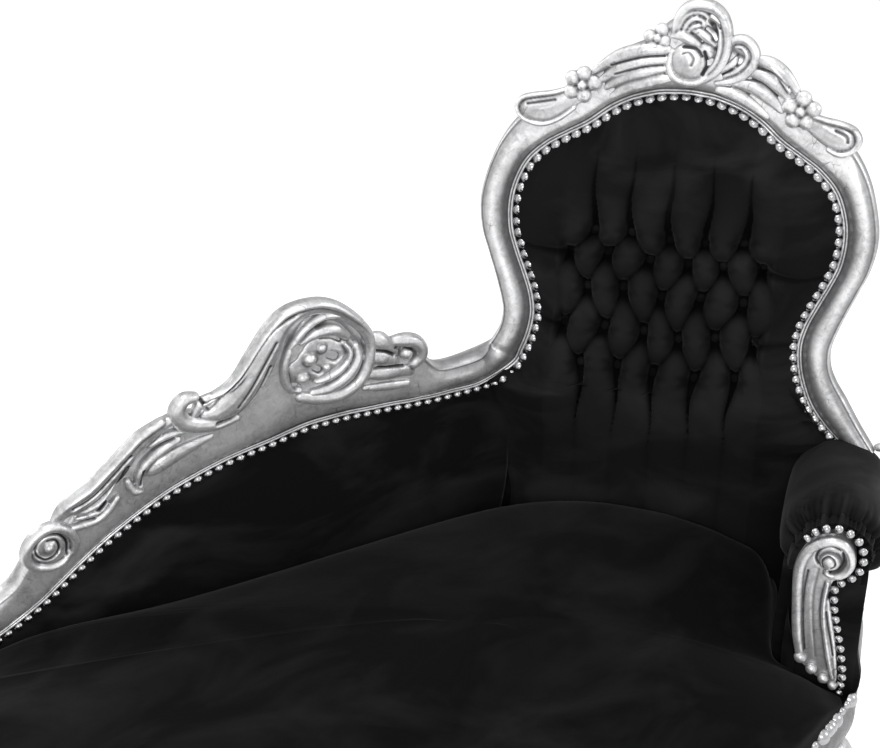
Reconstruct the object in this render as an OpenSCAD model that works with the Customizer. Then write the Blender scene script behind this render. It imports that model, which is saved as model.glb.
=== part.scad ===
// Chaise longue with a cartouche back set across one corner, a carved side rail and one arm.
// Millimetres, +Z up. The origin is on the floor under the middle of the whole piece, the long
// side runs along X, the sitter's feet point to -X and the open front side faces -Y.

/* [Overall] */
// Length from the foot end to the outside of the arm
length = 1712; // [1660:4:1780]
// Depth from the front legs' knees to the rear corner of the back
depth = 784.4; // [764.4:2:812.4]
// Height of the top of the seat rails
rail_top = 336; // [320:2:360]

/* [Seat rails] */
// Height of a seat rail
rail_h = 90; // [80:2:100]
// Thickness of a seat rail
rail_t = 24; // [22:1:30]
// Depth of the rebate that carries the webbing
rebate_h = 6; // [5:0.5:8]
// Width of the rail's upper lip outside that rebate
rebate_lip = 10; // [8:1:12]
// Rise of the scalloped lower edge between the legs
scallop = 14; // [4:1:20]

/* [Legs] */
// Widest half width of a leg at its knee
knee_r = 30; // [26:1:34]
// Thickness of the glide under a leg
glide_t = 3; // [2:0.5:5]
// Radius of that glide
glide_r = 11; // [8:1:14]

/* [Back] */
// Turn of the back from the long side
back_turn = 43.3; // [42:0.1:45]
// Lean of the back from upright
back_lean = 13.3; // [11:0.1:15]
// Width of the cartouche at its widest
back_w = 548; // [530:2:560]
// Height of the cartouche's middle above the seat rails
back_rise = 385; // [375:1:395]
// Height of the moulding's crown above the nail line
mould_crown = 19; // [14:1:24]
// Depth of the moulding behind the nail line
mould_back = 22; // [20:1:26]
// Height of the flat that the carvings stand on
seat_flat = 14; // [12:0.5:16]

/* [Upholstery] */
// Height of the middle of the seat above the seat rails
seat_crown = 150; // [140:1:156]
// Height of the seat's edge above the seat rails
seat_edge = 58; // [50:1:66]
// Crown of the tufted back
back_crown = 40; // [30:1:46]
// Depth of a tuft at its button
tuft_depth = 24; // [14:1:28]
// Distance between buttons along a row
tuft_pitch = 52.8; // [48:0.4:55]
// Radius of a button
button_r = 6.5; // [5:0.5:8]
// Thickness of the low back's pad at the seat
low_crown = 48; // [42:1:52]
// Radius of the arm's roll
roll_r = 72; // [66:1:76]
// Clearance between a soft piece and its neighbour
gap = 0.3; // [0.2:0.05:0.5]

/* [Nails] */
// Radius of a nail's head
nail_r = 5.6; // [4:0.2:6]
// Distance between nails
nail_pitch = 16; // [14:0.5:20]
// Radius of the beads at the arm's foot
bead_r = 7; // [6:0.5:8]

/* [Hidden] */
$fn = 32;

silver = "#c4c6c9";
velvet = "#141416";
beech = "#c9a878";
jute = "#a98c5c";
foam = "#e8dfbd";
steel = "#8d9196";

// The back's own directions: across it, up its slope, level and square out of its face
across = [cos(back_turn), -sin(back_turn), 0];
outward = [-sin(back_turn), -cos(back_turn), 0];
upward = [0, 0, cos(back_lean)] - outward * sin(back_lean);
facing = outward * cos(back_lean) + [0, 0, sin(back_lean)];

// Middle of the cartouche, the plane of the low back and the line of the front rail
back_x = length / 2 - 233.2;
back_y = depth / 2 - 224.4;
low_y = back_y + 137;
rear_y = low_y + 37;
front_y = -depth / 2 + 18;
foot_x = -length / 2 + 2.8;
head_t = 52;
arm_s = 325;
arm_t = 280;
post_t = 16;
pad_base = 4;

// Width the cartouche's outlines are drawn at
drawn_w = 548;
kw = back_w / drawn_w;

function unit(v) = v / norm(v);
function total(v) = v * [for (x = v) 1];
function middle(r) = [for (k = [0:2]) total([for (p = r) p[k]]) / len(r)];
function smooth(t) = let (u = min(max(t, 0), 1)) u * u * (3 - 2 * u);
function curve_point(a, b, c, d, t) = 0.5 * (2 * b + (c - a) * t
    + (2 * a - 5 * b + 4 * c - d) * t * t + (3 * b - a - 3 * c + d) * t * t * t);
// A smooth curve through rows of any length, with n steps from one row to the next
function curve(p, n) = concat([for (i = [0:len(p) - 2], k = [0:n - 1])
    curve_point(p[max(i - 1, 0)], p[i], p[i + 1], p[min(i + 2, len(p) - 1)], k / n)],
    [p[len(p) - 1]]);
function reversed(p) = [for (i = [len(p) - 1:-1:0]) p[i]];
// Points every pitch along a line of two or three coordinates
function lengths(p, i = 0, sum = 0, out = [0]) = i >= len(p) - 1 ? out :
    let (s = sum + norm(p[i + 1] - p[i])) lengths(p, i + 1, s, concat(out, [s]));
function spaced(p, pitch, start = 0) = let (l = lengths(p), n = len(l) - 1,
    count = floor((l[n] - start) / pitch), step = (l[n] - start) / max(count, 1))
    [for (k = [0:count]) [for (c = [0:len(p[0]) - 1])
        lookup(start + k * step, [for (i = [0:n]) [l[i], p[i][c]]])]];

// A solid through a row of rings with equal counts of points, closed at each end by a fan
// about a heart. Each quad is cut along the diagonal that lies furthest in the direction deep.
module skin(rings, deep = [0, 0, 0], hearts = []) {
    n = len(rings[0]);
    m = len(rings);
    pts = concat([for (r = rings) each r],
        len(hearts) == 2 ? hearts : [middle(rings[0]), middle(rings[m - 1])]);
    walls = [for (i = [0:m - 2], j = [0:n - 1]) each
        let (a = i * n + j, b = i * n + (j + 1) % n)
        deep * (pts[a] + pts[b + n]) >= deep * (pts[b] + pts[a + n])
            ? [[a, b, b + n], [a, b + n, a + n]] : [[a, b, a + n], [b, b + n, a + n]]];
    ends = [for (j = [0:n - 1]) each
        let (k = (j + 1) % n) [[k, j, n * m], [(m - 1) * n + j, (m - 1) * n + k, n * m + 1]]];
    tris = concat(walls, ends);
    volume = total([for (t = tris) pts[t[0]] * cross(pts[t[1]], pts[t[2]])]);
    polyhedron(pts, volume > 0 ? [for (t = tris) reversed(t)] : tris);
}

// A raised rib with a flat back on the plane at height base: rows are
// [across, up, half width, height] and the front faces -Y
module rib(rows, base = seat_flat, n = 2) {
    c = curve(rows, n);
    last = len(c) - 1;
    skin([for (i = [0:last])
        let (a = c[max(i - 1, 0)], b = c[min(i + 1, last)], d = unit([b.x - a.x, b.y - a.y]))
        [for (k = [0:6]) [c[i].x - d.y * c[i][2] * cos(30 * k),
            -base - c[i][3] * sin(30 * k), c[i].y + d.x * c[i][2] * cos(30 * k)]]]);
}

// A volute: a rib that winds inward round a centre, with a domed eye
module volute(at, r, turns, from, width, height, base = seat_flat, hand = 1) {
    steps = ceil(turns * 10);
    translate([at.x, -base, at.y]) rotate([90, 0, 0]) cylinder(h = height * 0.35, r = r * 0.72);
    rib([for (i = [0:steps]) let (k = i / steps, a = from + hand * 360 * turns * k,
        q = (r - width) * (1 - 0.62 * k))
        [at.x + q * cos(a), at.y + q * sin(a), width * (1 - 0.35 * k), height]], base, 1);
    translate([at.x, -base, at.y]) intersection() {
        sphere(r = r * 0.3);
        translate([-r, -r, -r]) cube([2 * r, r, 2 * r]);
    }
}

// Half of a ball on the plane at height base, for nails, beads and petals
module stud(at, r, base) {
    translate([at.x, -base, at.y]) difference() {
        sphere(r = r);
        translate([-2 * r, 0, -2 * r]) cube(4 * r);
    }
}

module back_local() {
    translate([back_x, back_y, rail_top + back_rise]) rotate([0, 0, -back_turn])
        rotate([-back_lean, 0, 0]) children();
}
module low_local() {
    translate([back_x, low_y, rail_top]) children();
}
module arm_local() {
    translate([back_x, back_y, rail_top]) rotate([0, 0, -back_turn]) children();
}
function back_pt(s, h) = [back_x, back_y, rail_top + back_rise] + s * across + h * upward;
function low_pt(x, z) = [back_x + x, low_y, rail_top + z];

// Section of the silvered moulding: share of its width from the nail line, height of the round
// section, height where the carvings stand on it
mould = [[0.1, -mould_back + 8, -mould_back + 8], [0.1, 3, 3], [0.17, 5, 5], [0.25, 3, 3],
    [0.4, mould_crown - 6, seat_flat], [0.6, mould_crown, seat_flat],
    [0.8, mould_crown - 2, seat_flat], [0.94, mould_crown - 10, seat_flat],
    [1, -4, -2], [0.95, -mould_back + 5, -mould_back + 5], [0.8, -mould_back, -mould_back],
    [0.34, -mould_back, -mould_back], [0.34, -mould_back + 8, -mould_back + 8]];
function mould_ring(inner, outer, face, flat) = [for (p = mould)
    inner + p[0] * (outer - inner) + (p[1] * (1 - flat) + p[2] * flat) * face];

// Half of the cartouche from its top down to its foot:
// nail line across and up, outer edge across and up, share of flat for the carvings
half_frame = [[0, 311, 4, 428, 1], [22, 309.5, 30, 420, 1], [40, 307, 58, 394, 1],
    [71, 297, 92, 374, 1], [97, 282, 132, 342, 1], [123, 261, 172, 312, 1],
    [150, 245, 204, 288, 1], [178, 227, 231, 264, 1], [202, 203, 254, 224, 0.2],
    [216, 172, 269, 178, 0], [221, 140, 274, 141, 0], [218, 106, 269, 104, 0],
    [208, 77, 258, 73, 0], [195, 47, 245, 38, 0], [184, 18, 236, 10, 0],
    [179, -11, 231, -13, 0], [182, -40, 234, -37, 0], [190, -68, 244, -58, 0],
    [204, -98, 261, -82, 0]];
half_curve = curve(half_frame, 2);
left_curve = curve(concat([for (i = [0:17]) half_frame[i]], [[204, -98, 247, -62, 0]]), 2);
right_foot = [[226, -124, 282, -114, 0], [256, -150, 308, -150, 0]];
right_curve = curve(concat([half_frame[18]], right_foot), 2);
function row_ring(r, side) = mould_ring(back_pt(side * r[0] * kw, r[1]),
    back_pt(side * r[2] * kw, r[3]), facing, r[4]);

// Where the cartouche runs into the low rail
joint_in = [-182, 266];
joint_out = back_pt(-250 * kw, -65);
joint_ring = mould_ring(low_pt(joint_in.x, joint_in.y), joint_out, unit(facing + [0, -1, 0]), 0);

// The low side stretches with the chaise's length, from the line where the carvings begin
low_still = -330;
drawn_run = 1146;
low_k = (back_x + low_still - foot_x) / drawn_run;
function low_x(x) = x > low_still ? x : low_still + (x - low_still) * low_k;
function low_placed(rows) = [for (r = rows) [low_x(r[0]), r[1], r[2], r[3]]];

// The low rail from that joint to its foot: nail line, outer edge, share of flat
low_drawn = [[-221, 265, -222, 327, 0], [-270, 266, -262, 323, 0], [-300, 267, -290, 330, 0.6],
    [-318, 269, -308, 352, 1], [-335, 270, -326, 382, 1], [-365, 274, -366, 396, 1],
    [-400, 277, -402, 412, 1], [-430, 280, -434, 450, 1], [-460, 281, -466, 472, 1],
    [-490, 281, -499, 479, 1], [-520, 277, -532, 468, 1], [-548, 272, -562, 424, 1],
    [-580, 268, -592, 388, 1], [-617, 262, -630, 366, 1], [-660, 251, -680, 372, 1],
    [-700, 238, -724, 354, 1], [-745, 217, -772, 324, 1], [-790, 192, -820, 287, 1],
    [-827, 167, -862, 245, 1], [-856, 146, -893, 226, 1], [-890, 122, -924, 184, 1],
    [-948, 92, -964, 156, 0.3], [-1020, 64, -1034, 122, 0], [-1080, 48, -1088, 101, 0],
    [-1130, 40, -1132, 88, 0]];
low_rows = [for (r = low_drawn) [low_x(r[0]), r[1], low_x(r[2]), r[3], r[4]]];
low_curve = curve(low_rows, 2);
low_rings = [for (r = low_curve) mould_ring(low_pt(r[0], r[1]), low_pt(r[2], r[3]),
    [0, -1, 0], r[4])];

// Edge of the upholstered field, at a share of the moulding's width from the nail line
field_share = 0.07;
nail_share = -0.02;
function field_edge(r) = [(r[0] + (r[2] - r[0]) * field_share) * kw,
    r[1] + (r[3] - r[1]) * field_share];
half_field = [for (r = half_curve) field_edge(r)];
pad_half = [for (p = reversed(half_field)) [p.y, p.x]];
pad_top = 318;
pad_foot = -back_rise / cos(back_lean) + 6;

// Buttons: five rows down the back, counted from the top
tuft_mid = -4;
tuft_rows = [[115, 0], [84, 1], [34, 2], [-24, 3], [-80, 4]];
tuft_scale = [[-400, 9.6], [-80, 4], [-24, 3], [34, 2], [84, 1], [115, 0], [400, -5.6]];
button_seat = 9.5;
button_places = [for (r = tuft_rows) let (odd = r[1] % 2, n = odd == 1 ? 6 : 5)
    for (i = [0:n - 1]) [tuft_mid + (i - (n - 1) / 2) * tuft_pitch, r[0]]];
function fold(x) = pow(abs(sin(180 * x)), 0.7);
// Height of the tufted face above the nail line
pleat_depth = 10;
edge_roll = 50;
tack_w = 8;
function back_face(s, h) = let (p = (s - tuft_mid) / tuft_pitch, q = lookup(h, tuft_scale),
    edge = h > -118 ? min([for (e = half_field) norm([abs(s), h] - e)])
        : min(s - pad_left(h), pad_right(h) - s),
    rise = smooth((edge - tack_w) / (edge_roll - tack_w)),
    in_rows = smooth(min(q + 0.5, 4.5 - q) * 2), in_width = smooth((3.1 - abs(p)) * 2),
    tuft = (1 - pow(fold(p + q / 2) * fold(p - q / 2), 0.6)) * tuft_depth,
    pleat = (1 - fold(p)) * pleat_depth * smooth(q < 2 ? (q + 4.2) / 3 : (9 - q) / 3)
        * (1 - in_rows),
    foot = 0.2 + 0.8 * smooth((h + 250) / 140))
    rise * foot * (back_crown - tuft * in_rows * in_width - pleat * in_width);
function pad_left(h) = h > -100 ? -lookup(h, pad_half)
    : lookup(h, [[pad_foot, -196], [-284, -200], [-118, -222], [-100, -lookup(-99, pad_half)]]);
function pad_right(h) = h > -100 ? lookup(h, pad_half)
    : lookup(h, [[pad_foot, 196], [-180, 196], [-165, 214], [-148, 250], [-124, 227],
        [-100, lookup(-99, pad_half)]]);
// Height on the back of a count of button rows down from the first
function row_height(q) = lookup(q, [for (r = tuft_rows) [r[1], r[0]]]) + (q < 0 ? -q * 31 : 0)
    - (q > 4 ? (q - 4) * 56 : 0);
pad_levels = concat([pad_foot, pad_foot + 25, pad_foot + 55, -300, -265, -232, -200, -178, -163,
    -148, -132, -118], [for (q = [4.5:-0.5:-0.5]) row_height(q)],
    [for (i = [len(half_field) - 1:-2:1]) if (half_field[i].y > 136) half_field[i].y],
    [half_field[1].y]);

module back_frame() {
    color(silver) skin(concat(reversed([for (i = [1:4]) row_ring(right_curve[i], 1)]),
        [for (r = reversed(half_curve)) row_ring(r, 1)],
        [for (i = [1:len(left_curve) - 1]) row_ring(left_curve[i], -1)], [joint_ring]));
}

module crest_leaf_scroll() {
    color(silver) back_local() {
        rib([[-22, 398, 5, 6], [-16, 418, 8, 11], [4, 430, 9, 13], [24, 423, 9, 13],
            [37, 403, 8, 12], [38, 380, 8, 12], [30, 356, 7, 10], [12, 340, 4, 6]]);
        rib([[-14, 396, 4, 6], [-4, 410, 5, 9], [10, 413, 5, 9], [21, 402, 4, 8],
            [22, 388, 3, 6]]);
        stud([-4, 360], 19, seat_flat);
        rib([[-24, 366, 3, 5], [-20, 346, 5, 8], [-4, 336, 6, 9], [12, 342, 5, 8],
            [21, 356, 3, 6]]);
        rib([[-18, 384, 3, 5], [-4, 388, 5, 8], [10, 382, 3, 5]]);
    }
}

module crest_side_scroll() {
    color(silver) back_local() {
        rib([[50, 392, 4, 6], [64, 391, 6, 9], [77, 381, 6, 10], [78, 366, 6, 9],
            [66, 352, 5, 8], [50, 342, 3, 5]]);
        rib([[54, 379, 3, 5], [63, 375, 4, 7], [62, 364, 3, 5], [52, 354, 2, 4]]);
    }
}

module flower(at, r, petals, turn) {
    for (i = [0:petals - 1])
        stud([at.x + r * cos(turn + 360 * i / petals), at.y + r * sin(turn + 360 * i / petals)],
            r * 0.56, seat_flat);
    stud(at, r * 0.55, seat_flat);
}

module crest_flowers() {
    color(silver) back_local() {
        flower([-148, 316], 15, 5, 20);
        flower([150, 317], 15, 5, 60);
        flower([-50, 388], 12, 4, 10);
    }
}

// Sprays of leaf ribs from the middle of the crest towards the side flowers
module leaf_spray(side) {
    for (k = [0:3])
        rib([[side * (36 + 6 * k), 340 + 10 * k, 4, 5],
            [side * (62 + 6 * k), 330 + 13 * k, 7, 9 - k],
            [side * (92 + 4 * k), 313 + 11 * k, 6, 8 - k],
            [side * (120 + 2 * k), 296 + 8 * k, 2.5, 4]]);
}

module crest_leaves() {
    color(silver) back_local() {
        leaf_spray(-1);
        difference() {
            leaf_spray(1);
            translate([20, -60, 300]) cube([66, 60, 120]);
        }
    }
}

module crest_ears() {
    color(silver) back_local() for (side = [-1, 1]) {
        rib([[side * 172, 301, 4, 5], [side * 188, 288, 7, 8], [side * 208, 284, 8, 11],
            [side * 222, 284, 6, 8]], seat_flat + 0.6);
        rib([[side * 176, 290, 3, 4], [side * 194, 272, 5, 8], [side * 212, 266, 6, 10],
            [side * 226, 274, 4, 7]], seat_flat + 0.6);
    }
}

// A board in the back's own frame between two heights, s from left to right
module back_board(left, right, low, high, rear, front) {
    back_local() translate([left, -front, low]) cube([right - left, front - rear, high - low]);
}
module above_rails() {
    difference() {
        children();
        translate([-length, -depth, rail_top - length]) cube([2 * length, 2 * depth, length]);
    }
}

// Each stile's tongue runs up into the rebate behind the moulding
stile_in = -160;
stile_out = -196;
stile_right = [262, 302];
rail_low = -352;
module back_stile_left() {
    color(beech) above_rails() {
        back_board(stile_out, stile_in, -420, -128, -mould_back, -pad_base - gap);
        back_board(stile_out - 4, stile_in, -129, -50, -mould_back, -mould_back + 8 - gap);
    }
}
module back_stile_right() {
    color(beech) above_rails()
        back_board(stile_right[0], stile_right[1], -420, -166, -mould_back, -pad_base - gap);
}
module back_bottom_rail() {
    color(beech) above_rails() back_board(stile_in + gap, stile_right[0] - gap, -420, rail_low,
        -mould_back, -pad_base - gap);
}

// Straps in the rebate of the moulding, and down between the stiles
module back_webbing() {
    color(jute) difference() {
        union() {
            for (h = [-312, -232, -168])
                back_board(stile_in + gap, stile_right[0] - gap, h - 25, h + 25, -17, -15.4);
            for (h = [20, 110, 200]) let (w = lookup(h, pad_half) + 1)
                back_board(-w, w, h - 25, h + 25, -15.9, -14.3);
        }
    }
}

// Outline of the upholstered field, drawn in by a margin
function field(margin) = concat(
    [for (h = [pad_foot + margin:20:-120]) [pad_left(h) + margin, h]],
    [for (h = [-118:16:pad_top - 30]) [pad_left(h) + margin, h]],
    [for (s = [-1:1]) [s * 36 * kw, pad_top - 8 - margin]],
    [for (h = [pad_top - 30:-16:-118]) [pad_right(h) - margin, h]],
    [for (h = [-120:-20:pad_foot + margin]) [pad_right(h) - margin, h]]);
module field_board(margin, rear, front) {
    back_local() rotate([90, 0, 0]) translate([0, 0, rear])
        linear_extrude(front - rear) polygon(field(margin));
}

module back_foam() {
    color(foam) difference() {
        field_board(4, -14, -pad_base - gap);
        back_board(-400, 400, -420, rail_low + gap, -40, 0);
        back_board(-260, stile_in + gap, -420, -128 + gap, -40, 0);
    }
}

module back_cover() {
    // Columns stand on the buttons and half way between them, and squeeze in where the field
    // is narrower than the tufting
    columns = 12;
    half_span = columns / 4 * tuft_pitch;
    color(velvet) back_local() skin([for (h = pad_levels)
        let (l = pad_left(h), r = pad_right(h),
            wide = min(half_span, (r - tuft_mid) * 0.88, (tuft_mid - l) * 0.88))
        concat([[l, 0, h], for (e = [0.12, 0.4]) let (s = l + (tuft_mid - wide - l) * e)
                [s, -back_face(s, h), h]],
            [for (j = [-columns:columns]) let (s = tuft_mid + wide * j / columns)
                [s, -back_face(s, h), h]],
            [for (e = [0.6, 0.88]) let (s = tuft_mid + wide + (r - tuft_mid - wide) * e)
                [s, -back_face(s, h), h], [r, 0, h]],
            [[r, pad_base, h], [l, pad_base, h]])], [0, 1, 0],
        [for (h = [pad_foot, half_field[1].y]) [tuft_mid, pad_base / 2, h]]);
}

module back_buttons() {
    color(velvet) back_local() for (b = button_places)
        stud(b, button_r, back_face(b.x, b.y) + button_seat);
}

module back_outside_panel() {
    color(velvet) {
        difference() {
            field_board(-7, -mould_back - 2, -17.3);
            back_board(-400, 400, -450, -126, -60, 0);
            back_board(-260, stile_in + gap, -140, -50 + gap, -mould_back - gap, 0);
        }
        above_rails() back_local() rotate([90, 0, 0]) translate([0, 0, -mould_back - 6])
            linear_extrude(6 - gap) polygon([[-222, -112], [-236, -141], [-270, -284],
                [-298, -420], [302, -420], [302, -232], [280, -184], [250, -152],
                [212, -112]]);
    }
}

module low_rail() {
    color(silver) skin(concat([joint_ring], low_rings));
}

module low_rib(rows, base = seat_flat, n = 2) {
    rib(low_placed(rows), base, n);
}

// Pierced scroll that swirls round an oval eye
module low_rocaille() {
    c = [-462, 382];
    color(silver) low_local() {
        low_rib([for (a = [130:-22:-170]) [c.x + 50 * cos(a), c.y + 55 * sin(a), 8, 13]],
            seat_flat, 1);
        for (k = [0:4]) let (a = 20 + 62 * k)
            low_rib([[c.x + 8 * cos(a), c.y + 8 * sin(a), 4, 6],
                [c.x + 22 * cos(a + 18), c.y + 24 * sin(a + 18), 7, 10],
                [c.x + 36 * cos(a + 40), c.y + 40 * sin(a + 40), 7, 9],
                [c.x + 43 * cos(a + 66), c.y + 48 * sin(a + 66), 3, 5]]);
    }
}

// The band that climbs from the leaf curl over the scroll
module low_scroll_band() {
    color(silver) low_local() {
        low_rib([[-596, 326, 5, 7], [-628, 338, 10, 12], [-652, 356, 12, 14], [-664, 374, 8, 11]]);
        low_rib([[-622, 332, 6, 8], [-600, 352, 13, 13], [-576, 378, 14, 14], [-558, 410, 13, 14],
            [-544, 438, 12, 13], [-526, 458, 11, 13], [-500, 468, 10, 12], [-468, 466, 9, 11],
            [-439, 457, 8, 10], [-412, 438, 6, 8], [-398, 420, 4, 5]]);
    }
}

// Long leaves along the low rail, with a lobed lower edge
module low_leaves() {
    color(silver) low_local() {
        low_rib([[-828, 256, 8, 8], [-790, 288, 14, 14], [-748, 318, 14, 14], [-714, 338, 11, 12],
            [-690, 348, 5, 8]]);
        low_rib([[-812, 236, 6, 6], [-780, 258, 10, 10], [-735, 288, 11, 12], [-694, 312, 9, 10],
            [-660, 324, 5, 6]]);
        for (k = [0:4])
            low_rib([[-796 + 36 * k, 230 + 17 * k, 4, 5], [-780 + 36 * k, 238 + 17 * k, 7, 8],
                [-762 + 36 * k, 250 + 16 * k, 4, 5]]);
    }
}

module low_volute() {
    color(silver) low_local() volute([low_x(-871), 213], 37, 1.6, -60, 5.5, 13);
}

// Rolled end of the small leaf beside the pierced scroll
module low_scroll_end() {
    color(silver) low_local() {
        low_rib([[-396, 300, 6, 7], [-372, 318, 12, 12], [-346, 334, 13, 13], [-330, 346, 9, 12]]);
        low_rib([[-392, 372, 6, 8], [-364, 374, 10, 12], [-336, 368, 11, 13]]);
        low_rib([[-322, 330, 8, 10], [-315, 350, 9, 14], [-318, 372, 8, 13]]);
    }
}

// Scroll that lands the low rail on the seat rail
foot_r = 46;
rail_end = low_x(-1132);
foot_mid = rail_end - 33 - gap;
module low_foot_scroll() {
    color(silver) low_local() {
        difference() {
            translate([foot_mid, mould_back, foot_r]) rotate([90, 0, 0])
                cylinder(h = mould_back + 8, r = foot_r);
            translate([rail_end + 0.4, -60, -20]) cube([80, 120, 140]);
        }
        volute([foot_mid, foot_r], foot_r - 10, 1.4, 200, 5.5, 7, 8 - 0.1, -1);
    }
}

low_pad_rows = [for (r = reversed(low_curve))
    [r[0] + (r[2] - r[0]) * field_share, r[1] + (r[3] - r[1]) * field_share]];
low_pad_left = low_x(-1125);
low_pad_right = -184;
// Share of the pad's full thickness along it, and the line where the leaning back crosses it
// at a height and a distance in front of the nail line
function low_full(x) = smooth((x - low_pad_left) / 420);
function low_seam(z, f) = -((low_y - back_y - f) * cos(back_turn)
    + (back_rise - z) * tan(back_lean)) / sin(back_turn) - 1;
low_end = low_seam(267, 0);
function low_bend(x, z, f) = low_pad_left
    + (x - low_pad_left) * (low_seam(z, f) - low_pad_left) / (low_end - low_pad_left);
function low_top(x) = lookup(x, low_pad_rows) - gap;

// Uprights from the rear seat rail to the low rail, behind its pad
strut_x = [-292, low_x(-560), low_x(-820)];
module low_struts() {
    color(beech) low_local() for (x = strut_x) translate([x - 20, pad_base + gap, 0])
        cube([40, mould_back - pad_base - gap, low_top(x - 20) - 6]);
}

module low_webbing() {
    color(jute) low_local() for (z = [50, 110, 170, 215])
        let (l = low_x(z < 60 ? -1010 : z < 120 ? -884 : z < 180 ? -776 : -690))
        translate([l, pad_base + gap, z - 22]) difference() {
            cube([low_seam(z - 22, -pad_base - 2) - 2 - l, 1.6, 44]);
            for (x = strut_x) translate([x - 20.4 - l, -5, -5]) cube([40.8, 10, 60]);
        }
}

module low_foam() {
    color(foam) low_local() difference() {
        rotate([90, 0, 0]) translate([0, 0, -pad_base]) linear_extrude(pad_base)
            polygon(concat([[low_pad_left + 60, 0], [low_pad_left + 60, 20]],
                [for (x = [low_pad_left + 60:40:low_pad_right - 20]) [x, low_top(x) - 6]],
                [for (z = [low_top(low_end) - 6, 0]) [low_seam(z, -pad_base) - 1, z]]));
    }
}

module low_cover() {
    columns = 34;
    rows = 6;
    color(velvet) low_local() skin([for (i = [0:columns])
        let (x = low_pad_left + (low_end - low_pad_left) * i / columns, top = low_top(x))
        concat([for (j = [0:rows]) let (v = 1 - pow(1 - j / rows, 1.6),
            z = gap + (top - tack_w - gap) * v,
            f = 0.8 + low_crown * low_full(x) * pow(1 - pow(v, 2.4), 0.9))
            [low_bend(x, z, f), -f, z]], [[low_bend(x, top, 0.8), -0.8, top]],
            [for (z = [top, top * 0.5, gap]) [low_bend(x, z, gap), -gap, z]])]);
}

module low_outside_panel() {
    color(velvet) low_local() rotate([90, 0, 0]) translate([0, 0, -mould_back - 4])
        linear_extrude(4 - gap)
        polygon(concat([[low_pad_left - 8, gap]],
            [for (x = [low_pad_left - 8:33:low_pad_right - 40])
                [x, lookup(x, [for (r = reversed(low_curve))
                    [r[0] + (r[2] - r[0]) * 0.45, r[1] + (r[3] - r[1]) * 0.45]])]],
            [[low_pad_right + 6, 284], [low_pad_right + 6, 266], [-248, gap]]));
}

// Plan of the seat rails' outer face, clockwise from the rear
head_s = -(rear_y - back_y + head_t * cos(back_turn)) / sin(back_turn);
function seat_pt(s, t) = [back_x, back_y] + s * [across.x, across.y] + t * [outward.x, outward.y];
rear_line = [[foot_x + 296, rear_y], [foot_x + 700, rear_y], [back_x - 420, rear_y],
    seat_pt(head_s, head_t)];
head_line = [seat_pt(head_s, head_t), seat_pt(0, head_t), seat_pt(arm_s - 24, head_t),
    seat_pt(arm_s - 7, head_t + 7), seat_pt(arm_s, head_t + 24)];
arm_line = [seat_pt(arm_s, head_t + 24), seat_pt(arm_s, 160), seat_pt(arm_s, arm_t - 30),
    seat_pt(arm_s - 2, arm_t - 10)];
front_line = curve([seat_pt(arm_s - 2, arm_t - 10), [back_x - 20, front_y + 88],
    [back_x - 100, front_y + 54], [back_x - 190, front_y + 27], [back_x - 300, front_y + 8],
    [back_x + low_x(-420), front_y], [back_x + low_x(-560), front_y], [back_x + low_x(-720), front_y + 4],
    [back_x + low_x(-880), front_y + 10], [foot_x + 426, front_y + 16], [foot_x + 296, front_y + 20]], 2);
foot_line = curve([[foot_x + 296, front_y + 20], [foot_x + 196, front_y + 32],
    [foot_x + 111, front_y + 64], [foot_x + 48, front_y + 120], [foot_x + 15, front_y + 202],
    [foot_x + 5, front_y + 302], [foot_x + 4, rear_y - 322], [foot_x + 10, rear_y - 220],
    [foot_x + 30, rear_y - 130], [foot_x + 76, rear_y - 60], [foot_x + 151, rear_y - 18],
    [foot_x + 236, rear_y - 2], [foot_x + 296, rear_y]], 2);
function tail(p) = [for (i = [1:len(p) - 1]) p[i]];
plan = concat(tail(rear_line), tail(head_line), tail(arm_line), tail(front_line),
    tail(foot_line));
plan_n = len(plan);
head_start = len(rear_line) - 1;
arm_start = head_start + len(head_line) - 1;
front_start = arm_start + len(arm_line) - 1;
foot_start = front_start + len(front_line) - 1;
// Inward direction at a corner of the plan, longer where the plan bends
function plan_in(i) = let (p = plan[i % plan_n], a = plan[(i + plan_n - 1) % plan_n],
    b = plan[(i + 1) % plan_n], d = unit(p - a), e = unit(b - p), m = unit(d + e))
    [m.y, -m.x] / (m * d);
function plan_pt(i, inset) = plan[i % plan_n] + plan_in(i) * inset;
function plan_ring(inset) = [for (i = [0:plan_n - 1]) plan_pt(i, inset)];

// Section of a seat rail: inset from its outer face and height from its top
function rail_section(lift) = [[0, -5], [3, 0], [rebate_lip, 0], [rebate_lip, -rebate_h],
    [rail_t, -rebate_h], [rail_t, -rail_h + 6 + lift], [rail_t - 4, -rail_h + lift],
    [8, -rail_h + lift], [3, -rail_h + 12 + lift], [-3, -rail_h * 0.62], [-4, -rail_h * 0.44],
    [0, -rail_h * 0.26], [2, -rail_h * 0.15]];
// A rail along the plan from one corner to another, with a count of scallops
module seat_rail(from, to, arches) {
    skin([for (i = [from:to])
        let (lift = scallop * pow(sin(180 * arches * (i - from) / (to - from)), 2))
        [for (q = rail_section(lift)) let (p = plan_pt(i, q[0])) [p.x, p.y, rail_top + q[1]]]]);
}
module seat_rail_front() {
    color(silver) seat_rail(front_start - 1, foot_start - 1, 2);
}
module seat_rail_foot() {
    color(silver) seat_rail(foot_start - 1, plan_n - 1, 3);
}
module seat_rail_rear() {
    color(silver) seat_rail(plan_n - 1, plan_n + head_start - 1, 0);
}
module seat_rail_head() {
    color(silver) seat_rail(head_start - 1, arm_start - 1, 0);
}
module seat_rail_arm() {
    color(silver) seat_rail(arm_start - 1, front_start - 1, 0);
}

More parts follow.
